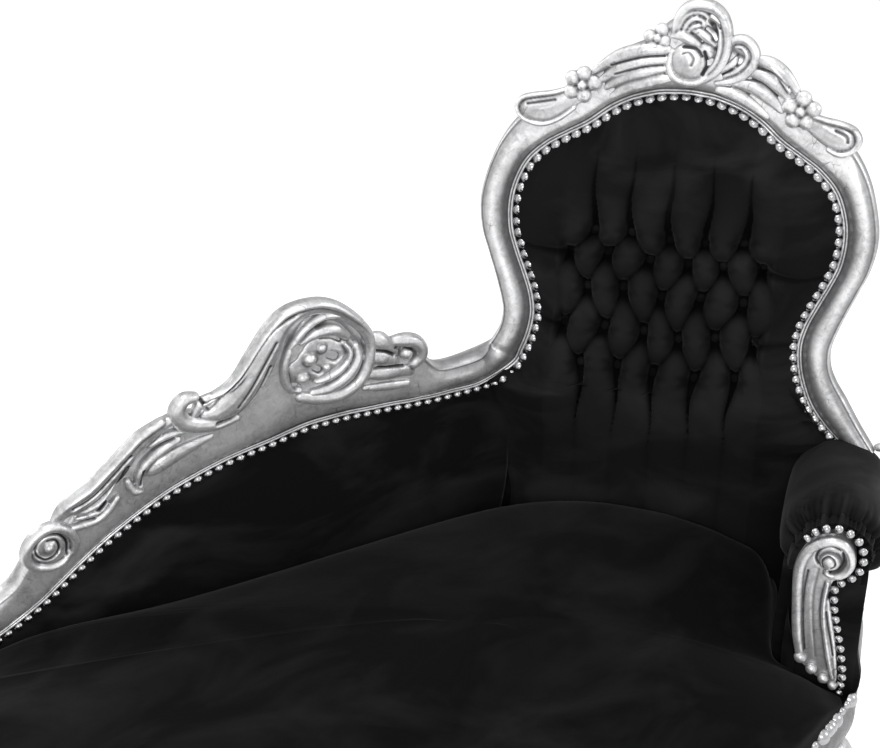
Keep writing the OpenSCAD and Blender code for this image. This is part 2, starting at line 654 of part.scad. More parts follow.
// Cabriole leg, its knee towards +X; rows are height share, reach, half widths
leg_h = rail_top - rail_h - glide_t;
leg_rows = [[1, 0, 20, 22], [0.95, 6, knee_r - 4, knee_r - 3], [0.86, 12, knee_r, knee_r - 2],
    [0.72, 14, 24, 22], [0.52, 7, 17, 16], [0.32, 0, 13, 13], [0.18, 2, 13, 13],
    [0.09, 14, 17, 16], [0.03, 20, 19, 17], [0, 20, 15, 14]];
module leg(i, turn = 0) {
    p = plan_pt(i, rail_t / 2 + 6);
    d = plan_in(i);
    color(silver) translate([p.x, p.y, glide_t]) rotate([0, 0, atan2(-d.y, -d.x) + turn])
        skin([for (r = curve(leg_rows, 2)) [for (k = [0:9]) let (a = 36 * k)
            [r[1] - 6 + r[2] * cos(a), r[3] * sin(a), r[0] * leg_h]]]);
}
leg_corners = [foot_start + 7, front_start + 9, front_start - 1, foot_start + 15,
    plan_n + head_start - 1, arm_start - 2];
module leg_front_foot() leg(leg_corners[0]);
module leg_front_middle() leg(leg_corners[1]);
module leg_front_arm() leg(leg_corners[2]);
module leg_rear_foot() leg(leg_corners[3]);
module leg_rear_middle() leg(leg_corners[4]);
module leg_rear_head() leg(leg_corners[5]);
module leg_glides() {
    color(steel) for (i = leg_corners) {
        d = unit(plan_in(i));
        p = plan_pt(i, rail_t / 2 + 6) - d * 14;
        translate([p.x, p.y, 0]) cylinder(h = glide_t, r = glide_r);
    }
}

// Glued blocks behind the legs, each with a screw through it
block = [40, 30, 34];
module block_place(i) {
    d = unit(plan_in(i));
    p = plan[i % plan_n] + plan_in(i) * (rail_t + 1.2);
    translate([p.x, p.y, rail_top - rail_h + 24]) rotate([0, 0, atan2(d.y, d.x) - 90]) children();
}
module corner_blocks() {
    color(beech) intersection() {
        for (i = leg_corners) block_place(i) difference() {
            translate([-block.x / 2, -4, 0]) cube([block.x, block.y + 4, block.z]);
            translate([0, -9, block.z / 2]) rotate([-90, 0, 0]) cylinder(h = block.y + 10, r = 2.8);
            translate([0, block.y - 4, block.z / 2]) rotate([-90, 0, 0]) cylinder(h = 5, r = 5.3);
        }
        translate([0, 0, rail_top - rail_h]) linear_extrude(rail_h)
            polygon(plan_ring(rail_t + gap));
    }
}
module block_screws() {
    color(steel) for (i = leg_corners) block_place(i)
        translate([0, 0, block.z / 2]) rotate([-90, 0, 0]) {
            cylinder(h = block.y - 2, r = 2.5);
            translate([0, 0, block.y - 4 + gap]) cylinder(h = 3, r = 5);
        }
}

module between_rails(inset) {
    intersection() {
        polygon(plan_ring(inset));
        children();
    }
}
brace_x = [foot_x + 420, foot_x + 800, foot_x + 1150];
module cross_braces() {
    color(beech) translate([0, 0, rail_top - 60]) linear_extrude(28) between_rails(rail_t + 0.2)
        for (x = brace_x) translate([x - 20, -depth]) square([40, 2 * depth]);
}
webbing_step = 86;
webbing_w = 50;
module webbing_cross() {
    color(jute) translate([0, 0, rail_top - rebate_h + 0.1]) linear_extrude(1.4)
        between_rails(rebate_lip + 1) for (x = [foot_x + 90:webbing_step:length / 2 - 160])
            translate([x, -depth]) square([webbing_w, 2 * depth]);
}
module webbing_long() {
    color(jute) translate([0, 0, rail_top - rebate_h + 1.7]) linear_extrude(1.4)
        between_rails(rebate_lip + 1) for (y = [front_y + 90:webbing_step * 1.4:rear_y - 60])
            translate([-length, y]) square([2 * length, webbing_w]);
}
module hessian() {
    color(jute) translate([0, 0, rail_top - rebate_h + 3.3]) linear_extrude(1)
        polygon(plan_ring(rebate_lip + 1));
}
module dust_cover() {
    color("#2a2a2c") translate([0, 0, rail_top - rail_h + 20]) linear_extrude(1)
        polygon(plan_ring(rail_t + 0.2));
}

// Plan of the seat pad: along the front it follows the rails, elsewhere it stops at the pads.
// Each point carries the way it moves as the wall climbs, for the leaning back.
seat_rear = low_y - low_crown - 2;
seat_head_t = back_rise * tan(back_lean) + 9.5;
seat_arm_s = 204;
arm_in = seat_arm_s + 2;
head_corner_s = -(seat_rear - back_y + seat_head_t * cos(back_turn)) / sin(back_turn);
climb = tan(back_lean) * -[outward.x, outward.y];
function inset_line(p, d) = [for (i = [1:len(p) - 2])
    let (e = unit(p[i + 1] - p[i - 1])) p[i] + d * [e.y, -e.x]];
function still(p) = [for (q = p) [q.x, q.y, 0, 0]];
function leaning(s, t) = let (q = seat_pt(s, t)) [q.x, q.y, climb.x, climb.y];
seat_plan = concat(
    still([for (q = [-1125, -1000, -960, -920, -880, -840, -800, -750, -700, -600, -500])
        let (x = low_x(q)) [back_x + x,
            min(low_y - low_crown * low_full(x) - 4.2, low_y - mould_crown - 3)]]),
    [[back_x - 330, seat_rear, 0, 0], concat(seat_pt(head_corner_s + 3, seat_head_t + 2),
        [tan(back_lean) / sin(back_turn), 0])],
    [for (s = [-130, -30, 70, 150, seat_arm_s - 10]) leaning(s, seat_head_t)],
    [leaning(seat_arm_s, seat_head_t + 16)],
    still([seat_pt(seat_arm_s, 190), seat_pt(seat_arm_s, arm_t - 22),
        seat_pt(seat_arm_s + 4, arm_t + 1.5), seat_pt(seat_arm_s + 30, arm_t + 1.5),
        seat_pt(seat_arm_s + 62, arm_t + 1.5), seat_pt(arm_s - 24, arm_t + 1.5)]),
    still(inset_line(front_line, 1)),
    still([for (q = inset_line(foot_line, 1)) if (q.y < rear_y - 10) q]),
    still([for (q = [[196, 18], [218, 0], [235, -19]]) [foot_x + q.x, low_y + q.y]]));
seat_mid = [back_x - 370, back_y - 190];
// Height of the seat's edge: low along the front and the foot, high against the two backs
head_bulge = 34;
corner_dip = 54;
function edge_h(p) = seat_edge + 60 * smooth((p.y - front_y - 90) / 480)
    * smooth((p.x - foot_x - 300) / 260)
    + head_bulge * smooth(1 - norm([p.x, p.y] - seat_pt(-10, seat_head_t)) / 230)
    - corner_dip * smooth(1 - norm([p.x, p.y] - seat_pt(arm_s - 24, arm_t + 1.5)) / 120);
// Rings of the seat: how far in from the edge, share of the way out from the middle, share of
// the edge's height, share of the rise from there to the crown
seat_rows = [[0, 1, 0.35, 0], [0, 1, 0.65, 0], [1.5, 1, 0.86, 0], [8, 1, 0.965, 0.01],
    [22, 1, 1, 0.06], [48, 1, 1, 0.2], [90, 1, 1, 0.42], [90, 0.62, 1, 0.78], [90, 0.3, 1, 0.96],
    [90, 0.08, 1, 1]];
function seat_ring(r, part = 1, inset = 0, up = 0) = [for (p = seat_plan)
    let (edge = edge_h(p), z = (edge * r[2] + (seat_crown - edge) * r[3]) * part + up,
        v = [p.x, p.y] + [p[2], p[3]] * z - seat_mid,
        q = seat_mid + (v - unit(v) * (r[0] + inset)) * r[1]) [q.x, q.y, rail_top + z]];
function flat_ring(inset, up) = seat_ring([0, 1, 0, 0], 1, inset, up);
foam_part = 0.6;
foam_rows = [for (i = [2, 4, 5, 6, 8]) seat_rows[i]];
module seat_foam() {
    color(foam) skin(concat([flat_ring(17, -rebate_h + 4.6), flat_ring(17, 0.4), flat_ring(8, 0.4)],
        [for (r = foam_rows) seat_ring(r, foam_part, 8)]));
}
module seat_cover() {
    color(velvet) skin(concat([for (r = reversed(foam_rows)) seat_ring(r, foam_part, 7, gap)],
        [flat_ring(7, 0.2), flat_ring(0, 0.2)], [for (r = seat_rows) seat_ring(r)]));
}

// Facing of the arm: outline across and up from the seat rail, seen from the front
post_line = [[303, gap], [304, 53], [296, 85], [288, 120], [280, 160], [278, 186], [283, 196],
    [300, 206], [311, 224], [311, 246], [300, 264], [282, 275], [262, 275], [244, 265],
    [230, 246], [223, 221], [221, 190], [221, 150], [224, 110], [232, 76], [240, 50]];
module arm_post() {
    color(silver) arm_local() {
        translate([0, -arm_t + post_t, 0]) rotate([90, 0, 0]) linear_extrude(post_t)
            polygon(concat(post_line, [[240, gap]]));
        rib([[246, 68, 5, 6], [237, 94, 8, 8], [232, 130, 9, 9], [232, 175, 9, 9],
            [235, 220, 9, 9]], arm_t - 0.2);
        rib([[285, 46, 7, 6], [276, 68, 12, 9], [264, 110, 14, 10], [258, 155, 11, 9],
            [262, 180, 6, 6]], arm_t - 0.2);
        volute([276, 228], 44, 1.4, 188, 7.5, 10, arm_t - 0.2, -1);
    }
}
module arm_beads() {
    color(silver) arm_local()
        for (p = spaced([[244, 52], [262, 33], [280, 19], [294, 13]], 18))
            stud(p, bead_r, arm_t + gap);
}
module arm_bracket() {
    edge = right_foot[1][2] * kw - 0.6;
    color(silver) back_local() rib([[edge, -148, 5, 7], [edge + 6, -145, 7, 10],
        [edge + 13.6, -146, 7, 10], [edge + 20.6, -151, 4, 6]], -4);
}

// Wooden rail under the roll, from the facing to the right stile
roll_front = [268, 222];
roll_rear = [266, 184];
roll_flat = 30;
rail_under = 22;
module arm_top_rail() {
    color(beech) arm_local() hull() {
        translate([roll_front.x - 22, -arm_t + post_t + gap, roll_front.y - roll_flat
            - rail_under]) cube([44, 2, rail_under - 1.5]);
        translate([roll_rear.x - 22, -72, roll_rear.y - roll_flat - rail_under + 4])
            cube([44, 2, rail_under - 1.5]);
    }
}
module arm_roll() {
    sides = 18;
    // Distance out from the back, share of the radius, share of the way to the front
    rows = [[46, 0.62, 0], [52, 0.86, 0.03], [70, 0.97, 0.11], [120, 1, 0.34], [180, 1.01, 0.61],
        [222, 1, 0.81], [242, 0.96, 0.9], [256, 0.86, 0.97], [arm_t - post_t - gap, 0.68, 1]];
    color(velvet) arm_local() skin([for (r = curve(rows, 2))
        let (c = roll_rear + (roll_front - roll_rear) * r[2])
        [for (k = [0:sides - 1]) let (a = 360 * k / sides, q = roll_r * r[1],
            crease = 1 - 0.03 * smooth((r[0] - 240) / 16) * (k % 2),
            up = max(q * crease * sin(a), -roll_flat + gap))
            [c.x + q * crease * cos(a), -r[0] + min(up, 0) * tan(back_lean) * (1 - r[2]),
                c.y + up]]]);
    // Velvet drawn round the edge of the facing
    color(velvet) arm_local() translate([0, -arm_t + post_t + 2, 0]) rotate([90, 0, 0])
        linear_extrude(post_t + 2) difference() {
            offset(delta = 13) polygon(post_line);
            offset(delta = gap) polygon(post_line);
            translate([190, -60]) square([160, 255]);
        }
}
module arm_inside_cover() {
    color(velvet) arm_local() hull() {
        translate([arm_in, -arm_t + post_t + 1, gap])
            cube([38, 1, roll_front.y - roll_flat - 1.5]);
        translate([arm_in, -seat_head_t + 6, gap]) cube([38, 1, 1]);
        translate([arm_in, -seat_head_t + 43, roll_rear.y - roll_flat - 2]) cube([38, 1, 3]);
    }
}
module arm_base_cover() {
    color(velvet) arm_local() translate([222, -arm_t, 0]) rotate([90, 0, 0])
        translate([0, 0, -post_t]) linear_extrude(post_t)
        polygon([[0, gap], [17.6, gap], [17.6, 50], [10, 76], [2.4, 100], [-2, 130], [-3, 60]]);
}
// The outside cover's front edge fills the space between the facing and its own outer face
panel_front = [[304.5, gap], [305.5, 54], [297.5, 86], [289.5, 121], [281.5, 161], [280, 186],
    [286, 190.5], [316, 190.5], [318, gap]];
module arm_outside_panel() {
    color(velvet) arm_local() {
        hull() {
            translate([306, -arm_t + post_t - 1, gap]) cube([11, 2, roll_front.y - roll_flat - 2]);
            translate([307, -64, gap]) cube([15, 2, 20]);
            translate([307, -34, gap]) cube([13, 2, roll_rear.y - roll_flat - 5]);
        }
        translate([0, -arm_t + post_t, 0]) rotate([90, 0, 0])
            linear_extrude(post_t) polygon(panel_front);
    }
}

// Nails: along the cartouche, the low rail, the arm's facing and the seat rails
half_nails = [for (r = half_curve) [(r[0] + (r[2] - r[0]) * nail_share) * kw,
    r[1] + (r[3] - r[1]) * nail_share]];
back_nail_line = concat(reversed([for (i = [1:4]) [right_curve[i][0], right_curve[i][1]]]),
    [for (p = reversed(half_nails)) p],
    [for (p = tail(half_nails)) [-p.x, p.y]], [[-213 * kw, -109]]);
module cut_nails(places, base) {
    difference() {
        for (p = places) translate([p.x, -base, p.y]) sphere(r = nail_r, $fn = 24);
        translate([-1500, -base, -1500]) cube(3000);
    }
}
module back_nails() {
    color(silver) back_local() cut_nails(spaced(back_nail_line, nail_pitch), gap);
}
module low_nails() {
    color(silver) low_local()
        cut_nails(spaced(concat(reversed([for (r = low_curve) [r[0], r[1] - 1]]), [[-192, 264]]),
            nail_pitch, 9), gap + 0.8);
}
module arm_nails() {
    color(silver) arm_local() cut_nails(spaced([[311, 8], [311, 55], [304, 90], [296, 125],
        [288, 165], [290, 186], [306, 198], [319, 220], [319, 250], [306, 272], [284, 284],
        [260, 284], [238, 273]], nail_pitch), arm_t);
}
module seat_nails() {
    places = spaced([for (p = concat(front_line, tail(foot_line))) if (p.y < rear_y - 10) p],
        nail_pitch);
    color(silver) for (i = [1:len(places) - 2]) {
        d = unit(places[i + 1] - places[i - 1]);
        translate([places[i].x, places[i].y, rail_top + nail_r - 0.4])
            rotate([0, 0, atan2(d.y, d.x) - 180]) translate([0, 0.6, 0]) stud([0, 0], nail_r, 0);
    }
}

seat_rail_front();
seat_rail_foot();
seat_rail_rear();
seat_rail_head();
seat_rail_arm();
leg_front_foot();
leg_front_middle();
leg_front_arm();
leg_rear_foot();
leg_rear_middle();
leg_rear_head();
leg_glides();
corner_blocks();
block_screws();
cross_braces();
webbing_long();
webbing_cross();
hessian();
seat_foam();
seat_cover();
dust_cover();
back_frame();
crest_leaf_scroll();
crest_side_scroll();
crest_flowers();
crest_leaves();
crest_ears();
back_stile_left();
back_stile_right();
back_bottom_rail();
back_webbing();
back_foam();
back_cover();
back_buttons();
back_outside_panel();
low_rail();
low_rocaille();
low_scroll_band();
low_leaves();
low_volute();
low_scroll_end();
low_foot_scroll();
low_struts();
low_webbing();
low_foam();
low_cover();
low_outside_panel();
arm_post();
arm_beads();
arm_bracket();
arm_top_rail();
arm_inside_cover();
arm_base_cover();
arm_roll();
arm_outside_panel();
back_nails();
low_nails();
arm_nails();
seat_nails();
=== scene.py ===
"""Chaise longue: carved and silvered frame, deep buttoned back, black velvet."""

import math

import bmesh
import bpy
import numpy as np
from mathutils import Matrix, Vector


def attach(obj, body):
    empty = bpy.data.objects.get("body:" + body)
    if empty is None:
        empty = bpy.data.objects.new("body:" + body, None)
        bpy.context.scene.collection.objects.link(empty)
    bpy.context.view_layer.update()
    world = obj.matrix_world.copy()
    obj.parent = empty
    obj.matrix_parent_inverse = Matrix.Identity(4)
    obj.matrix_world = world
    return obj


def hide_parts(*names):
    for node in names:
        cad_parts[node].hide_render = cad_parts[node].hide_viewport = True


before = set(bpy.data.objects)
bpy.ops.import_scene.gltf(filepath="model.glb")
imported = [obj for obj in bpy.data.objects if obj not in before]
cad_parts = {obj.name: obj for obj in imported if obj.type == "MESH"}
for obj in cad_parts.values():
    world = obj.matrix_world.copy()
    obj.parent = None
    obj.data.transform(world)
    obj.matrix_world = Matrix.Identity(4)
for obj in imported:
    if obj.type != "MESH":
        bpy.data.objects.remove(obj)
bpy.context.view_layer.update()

bl_info = {
    "name": "Chaise longue",
    "version": (1, 0, 0),
    "blender": (4, 5, 0),
    "location": "View3D > Sidebar > Chaise",
    "description": "Carved and silvered chaise longue with a deep buttoned back",
    "category": "Object",
}

MM = 0.001
VOXEL = 0.0014   # skin of the carvings
EASED = 0.0012   # edges of rails, boards and panels
MASKS = ("hollow", "worn")   # how dark a point is made by patina and painted shade, and how bright by wear and a painted highlight


# Sizes and finishes that a user would change


def length(name, description, default):
    """A length that a user can change."""
    return bpy.props.FloatProperty(name=name, description=description, default=default,
                                   unit="LENGTH")


def angle(name, description, degrees):
    """An angle that a user can change."""
    return bpy.props.FloatProperty(name=name, description=description, subtype="ANGLE",
                                   default=math.radians(degrees))


def colour(name, description, default):
    """A colour that a user can change."""
    return bpy.props.FloatVectorProperty(name=name, description=description, size=3,
                                         default=default, subtype="COLOR", min=0, max=1)


class ChaiseForm(bpy.types.PropertyGroup):
    """Where the back, the low rail and the arm stand."""

    back_x: length("Back X", "Middle of the back along the length", 0.6228)
    back_y: length("Back Y", "Middle of the back across the depth", 0.1678)
    rail_top: length("Rail top", "Height of the seat rails", 0.336)
    back_rise: length("Back rise", "Height of the cartouche's middle above the rails", 0.385)
    low_back: length("Low back", "Distance from the back's middle to the low back", 0.137)
    back_turn: angle("Back turn", "Turn of the back from the long side", 43.3)
    back_lean: angle("Back lean", "Lean of the back from upright", 13.3)
    arm_reach: length("Arm reach", "Distance from the back to the front of the arm", 0.280)
    bed: length("Carving bed", "Height of the flat that the carvings stand on", 0.014)


class ChaiseTufts(bpy.types.PropertyGroup):
    """The buttoned back."""

    pitch: length("Button pitch", "Distance between buttons along a row", 0.0528)
    crown: length("Crown", "Height of the padding above the nail line", 0.042)
    depth: length("Tuft depth", "Depth of a tuft at its button", 0.028)
    button: length("Button radius", "Radius of a covered button", 0.0068)


class ChaiseFinish(bpy.types.PropertyGroup):
    """Colours of the finishes."""

    # The bright leaf carries wear and a painted highlight; the leaf in the hollows carries the
    # cracks, patina and painted shade.
    leaf: colour("Silver leaf", "The leaf where it is bright", (0.95, 0.95, 0.96))
    leaf_mid: colour("Silver between", "The leaf on flats and flanks", (0.50, 0.50, 0.51))
    leaf_shade: colour("Silver in the hollows", "The leaf in recesses", (0.06, 0.06, 0.063))
    velvet: colour("Velvet", "The velvet's pile", (0.0045, 0.0045, 0.005))
    # The brushed colour serves the stroked pile and also a painted highlight on crowns and fold
    # crests.
    velvet_brushed_and_highlight: colour("Brushed velvet", "Where the pile lies flat", (0.019, 0.019, 0.020))
    beech: colour("Beech", "The bare wood", (0.60, 0.42, 0.26))


# Working planes


class Face:
    """A flat working plane of the chaise: across, up and out of the face, in millimetres."""

    def __init__(self, origin, across, up):
        self.origin = Vector(origin)
        self.across = Vector(across).normalized()
        self.up = Vector(up).normalized()
        self.out = self.across.cross(self.up)

    def at(self, u, v, f=0.0):
        """The point u across, v up and f out of the face."""
        return self.origin + (self.across * u + self.up * v + self.out * f) * MM

    def flat(self, co):
        """Arrays of across, up and out for an array of points."""
        p = (co - np.array(self.origin)) / MM
        return p @ np.array(self.across), p @ np.array(self.up), p @ np.array(self.out)


def faces():
    """The planes of the back, the low back and the arm's facing."""
    form = bpy.context.scene.chaise_form
    turn, lean = form.back_turn, form.back_lean
    across = Vector((math.cos(turn), -math.sin(turn), 0))
    outward = Vector((-math.sin(turn), -math.cos(turn), 0))
    up = Vector((0, 0, math.cos(lean))) - outward * math.sin(lean)
    foot = Vector((form.back_x, form.back_y, form.rail_top))
    return {
        "back": Face(foot + Vector((0, 0, form.back_rise)), across, up),
        "low": Face(foot + Vector((0, form.low_back, 0)), (1, 0, 0), (0, 0, 1)),
        "arm": Face(foot, across, (0, 0, 1)),
    }


# Mesh tools


def new_piece(name, bm, smooth=True):
    """A new object from a bmesh, standing at the origin."""
    mesh = bpy.data.meshes.new(name)
    bm.to_mesh(mesh)
    bm.free()
    piece = bpy.data.objects.new(name, mesh)
    bpy.context.scene.collection.objects.link(piece)
    if smooth:
        mesh.shade_smooth()
    return piece


def finish_piece(piece, node, slot):
    """Puts a piece on the body, in place of its CAD node, in its finish."""
    piece.data.materials.clear()
    piece.data.materials.append(material(slot))
    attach(piece, "root")
    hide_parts(node)
    return piece


def apply_modifiers(piece):
    """Bakes a piece's modifiers into its mesh."""
    graph = bpy.context.evaluated_depsgraph_get()
    mesh = bpy.data.meshes.new_from_object(piece.evaluated_get(graph))
    old = piece.data
    piece.modifiers.clear()
    piece.data = mesh
    bpy.data.meshes.remove(old)
    mesh.name = piece.name
    mesh.shade_smooth()


def modifier(piece, kind, **values):
    """Adds a modifier with its settings."""
    added = piece.modifiers.new(kind.title(), kind)
    for key, value in values.items():
        setattr(added, key, value)
    return added


def remesh(piece, voxel):
    """Turns overlapping closed shells into one skin."""
    modifier(piece, "REMESH", mode="VOXEL", voxel_size=voxel, use_smooth_shade=True)
    apply_modifiers(piece)


def round_off(piece, levels):
    """Adds a subdivision surface."""
    modifier(piece, "SUBSURF", levels=levels, render_levels=levels)


def curve_rows(rows, n):
    """A smooth curve through rows of numbers, with n steps from one row to the next."""
    rows = np.array(rows, float)
    last = len(rows) - 1
    t = (np.arange(n) / n)[:, None]
    out = []
    for i in range(last):
        a, b = rows[max(i - 1, 0)], rows[i]
        c, d = rows[i + 1], rows[min(i + 2, last)]
        out.append(0.5 * (2 * b + (c - a) * t + (2 * a - 5 * b + 4 * c - d) * t**2
                          + (3 * b - a - 3 * c + d) * t**3))
    return np.vstack(out + [rows[last:]])


def loft(bm, rings, mask_values=None):
    """A closed skin through rings with equal counts of points, with two masks stored point by
    point: patina with painted shade, and wear with a painted highlight.
    """
    layers = [bm.verts.layers.float.new(n) for n in MASKS] if mask_values else []
    verts = bmesh.ops.create_circle(bm, segments=len(rings[0]), radius=1)["verts"]

    def lay(verts, number):
        for i, (vert, point) in enumerate(zip(verts, rings[number])):
            vert.co = point
            for k, layer in enumerate(layers):
                vert[layer] = mask_values[number][i][k]

    lay(verts, 0)
    loop = list(dict.fromkeys(e for v in verts for e in v.link_edges))
    ends = list(loop)
    bmesh.ops.edgeloop_fill(bm, edges=loop)
    for number in range(1, len(rings)):
        where = {v: i for i, v in enumerate(verts)}
        made = bmesh.ops.extrude_edge_only(bm, edges=loop)["geom"]
        loop = [g for g in made if isinstance(g, bmesh.types.BMEdge)]
        fresh = [None] * len(verts)
        for g in made:
            if isinstance(g, bmesh.types.BMVert):
                old = next(e.other_vert(g) for e in g.link_edges if e.other_vert(g) in where)
                fresh[where[old]] = g
        lay(fresh, number)
        verts, new = fresh, set(fresh)
        loop = [e for e in loop if new.issuperset(e.verts)]
    bmesh.ops.edgeloop_fill(bm, edges=loop)
    for e in ends + loop:
        e.smooth = False


def rib(bm, face, rows, base, sides=14, steps=5, sink=5.0):
    """A tapered carved rib: rows are across, up, half width and height above the bed."""
    rows = curve_rows(rows, steps)
    way = np.gradient(rows[:, :2], axis=0)
    way /= np.maximum(np.linalg.norm(way, axis=1), 1e-9)[:, None]
    ends = [(rows[0], -way[0]), (rows[-1], way[-1])]
    stations = [(r[0], r[1], w, max(r[2], 0.4), r[3]) for r, w in zip(rows, way)]
    for where, (row, d) in enumerate(ends):
        caps = []
        for t in (0.45, 0.8, 0.97):
            k = math.sqrt(1 - t * t)
            caps.append((row[0] + d[0] * row[2] * t, row[1] + d[1] * row[2] * t,
                         way[0] if where == 0 else way[-1], max(row[2], 0.4) * k, row[3] * k))
        stations = caps[::-1] + stations if where == 0 else stations + caps
    rings = []
    for u, v, w, wide, high in stations:
        ring = []
        for k in range(sides):
            a = 2 * math.pi * k / sides
            up = math.sin(a)
            rise = high * up**0.75 if up > 0 else sink * up
            ring.append(face.at(u - w[1] * wide * math.cos(a), v + w[0] * wide * math.cos(a),
                                base + rise))
        rings.append(ring)
    loft(bm, rings)


def knob(bm, face, u, v, r, high, base, sink=4.0):
    """A rounded knob on the bed."""
    made = bmesh.ops.create_uvsphere(bm, u_segments=20, v_segments=12, radius=1)["verts"]
    for vert in made:
        x, y, z = vert.co
        vert.co = face.at(u + r * x, v + r * y, base + (high if z > 0 else sink) * z)


def smooth_step(t):
    """A soft step from 0 to 1."""
    u = np.clip(t, 0, 1)
    return u * u * (3 - 2 * u)


def line_distance(u, v, points):
    """Distance of each point to a smooth line."""
    line = curve_rows(points, 6)
    best = np.full(len(u), 1e9)
    for a, b in zip(line[:-1], line[1:]):
        d = b - a
        size = max(float(d @ d), 1e-9)
        t = np.clip(((u - a[0]) * d[0] + (v - a[1]) * d[1]) / size, 0, 1)
        best = np.minimum(best, np.hypot(u - a[0] - t * d[0], v - a[1] - t * d[1]))
    return best


def coordinates(mesh):
    """The mesh's points as an array."""
    co = np.empty(len(mesh.vertices) * 3)
    mesh.vertices.foreach_get("co", co)
    return co.reshape(-1, 3)


def set_coordinates(mesh, co):
    """Writes an array of points to the mesh."""
    mesh.vertices.foreach_set("co", co.ravel())
    mesh.update()


def point_normals(mesh):
    """The mesh's point normals as an array."""
    n = np.empty(len(mesh.vertices) * 3)
    mesh.vertices.foreach_get("normal", n)
    return n.reshape(-1, 3)


def neighbour_mean(mesh, values, rounds):
    """Values averaged over neighbouring points, several rounds."""
    edges = np.empty(len(mesh.edges) * 2, int)
    mesh.edges.foreach_get("vertices", edges)
    a, b = edges.reshape(-1, 2).T
    count = np.bincount(np.r_[a, b], minlength=len(mesh.vertices)).astype(float)
    out = values.copy()
    for _ in range(rounds):
        total = np.zeros_like(out)
        for c in range(out.shape[1]):
            total[:, c] = np.bincount(np.r_[a, b], np.r_[out[b, c], out[a, c]],
                                      minlength=len(out))
        out = 0.5 * out + 0.5 * total / np.maximum(count, 1)[:, None]
    return out


def soften(mesh, rounds):
    """Smooths a mesh towards the means of its points' neighbours."""
    set_coordinates(mesh, neighbour_mean(mesh, coordinates(mesh), rounds))


def store(mesh, name, values):
    """Keeps a value from 0 to 1 for each point of the mesh, or one value for all."""
    values = np.broadcast_to(values, len(mesh.vertices))
    kept = mesh.attributes.get(name) or mesh.attributes.new(name, "FLOAT", "POINT")
    kept.data.foreach_set("value", np.clip(values, 0, 1).astype(np.float32))


def paint_foot_highlight(mesh, lighter):
    """Brightens the low rail's leaf towards its foot end: a painted highlight."""
    near = smooth_step((0.08 - coordinates(mesh)[:, 0]) / 0.3)
    worn = np.empty(len(mesh.vertices), np.float32)
    mesh.attributes["worn"].data.foreach_get("value", worn)
    store(mesh, "worn", worn + lighter * near)


def mark_relief(mesh, reach=14, full=0.0009, extra=None, light=0.35, face=None):
    """Stores how far each point lies below its surroundings as patina and painted shade, with
    flanks darker as painted shade, and how far it stands above them as wear and a painted
    highlight.
    """
    co = coordinates(mesh)
    normals = point_normals(mesh)
    deep = ((neighbour_mean(mesh, co, reach) - co) * normals).sum(axis=1) / full
    fine = ((neighbour_mean(mesh, co, 3) - co) * normals).sum(axis=1) / (full * 0.35)
    # Patina and painted shade in the recesses
    hollow = np.maximum(0.5 * np.clip(deep, 0, 1), np.clip(fine, 0, 1))
    if extra is not None:
        hollow = np.maximum(hollow, extra)
    # Painted shade: flanks turned from the face are darkened
    if face is not None:
        flank = 1 - np.clip(normals @ np.array(face.out), 0, 1)
        hollow = np.maximum(hollow, 0.5 * flank**1.5)
    store(mesh, "hollow", hollow)
    # Wear and a painted highlight on the raised points
    store(mesh, "worn", light - 1.3 * deep)


def press_lines(mesh, face, base, lines):
    """Cuts soft grooves along lines of across and up: points, half width, depth and shade."""
    co = coordinates(mesh)
    u, v, f = face.flat(co)
    shade = np.zeros(len(co))
    down = np.zeros(len(co))
    for points, wide, deep, dark in lines:
        low, high = np.min(points, axis=0) - wide - 3, np.max(points, axis=0) + wide + 3
        there = np.nonzero((u > low[0]) & (u < high[0]) & (v > low[1]) & (v < high[1]))[0]
        near = np.zeros(len(co))
        near[there] = np.clip(
            1 - (line_distance(u[there], v[there], points) / wide) ** 2, 0, 1) ** 2
        near *= np.clip((f - base + 3) / 4, 0, 1)
        down = np.where(np.abs(near * deep) > np.abs(down), near * deep, down)
        shade = np.maximum(shade, np.clip(near * 1.6, 0, 1) * dark)
    down = np.minimum(down, np.maximum(f - base + 3, 0))
    set_coordinates(mesh, co - np.outer(down * MM, np.array(face.out)))
    return shade


def carve(name, face, ribs, knobs, lines, base, broad=1.25, rounds=2):
    """A carving of ribs and knobs grown together, with its grooves cut afterwards."""
    bm = bmesh.new()
    for rows in ribs:
        rib(bm, face, [(r[0], r[1], r[2] * broad, r[3]) for r in rows], base)
    for u, v, r, high in knobs:
        knob(bm, face, u, v, r, high, base)
    bmesh.ops.recalc_face_normals(bm, faces=bm.faces)
    piece = new_piece(name, bm)
    remesh(piece, VOXEL)
    mesh = piece.data
    shade = press_lines(mesh, face, base, lines) if lines else None
    soften(mesh, rounds)
    mark_relief(mesh, extra=shade, face=face)
    # Painted highlight on the low rail's carvings towards the foot end
    if name.startswith("low_"):
        paint_foot_highlight(mesh, 0.4)
    return finish_piece(piece, name, "silver_leaf")


def cad_copy(node, quads=True):
    """A merged copy of a CAD node."""
    bm = bmesh.new()
    bm.from_mesh(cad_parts[node].data)
    bm.transform(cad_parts[node].matrix_world)
    bmesh.ops.remove_doubles(bm, verts=bm.verts, dist=1e-5)
    if quads:
        bmesh.ops.join_triangles(bm, faces=bm.faces, angle_face_threshold=math.radians(30),
                                 angle_shape_threshold=math.radians(60))
    return new_piece(node, bm)


def bevelled_copy(node, width, turn, rounds=0):
    """A copy of a CAD node with its edges eased, then rounded."""
    piece = cad_copy(node)
    modifier(piece, "BEVEL", width=width, segments=2, limit_method="ANGLE",
             angle_limit=math.radians(turn))
    if rounds:
        round_off(piece, rounds)
    apply_modifiers(piece)
    return piece


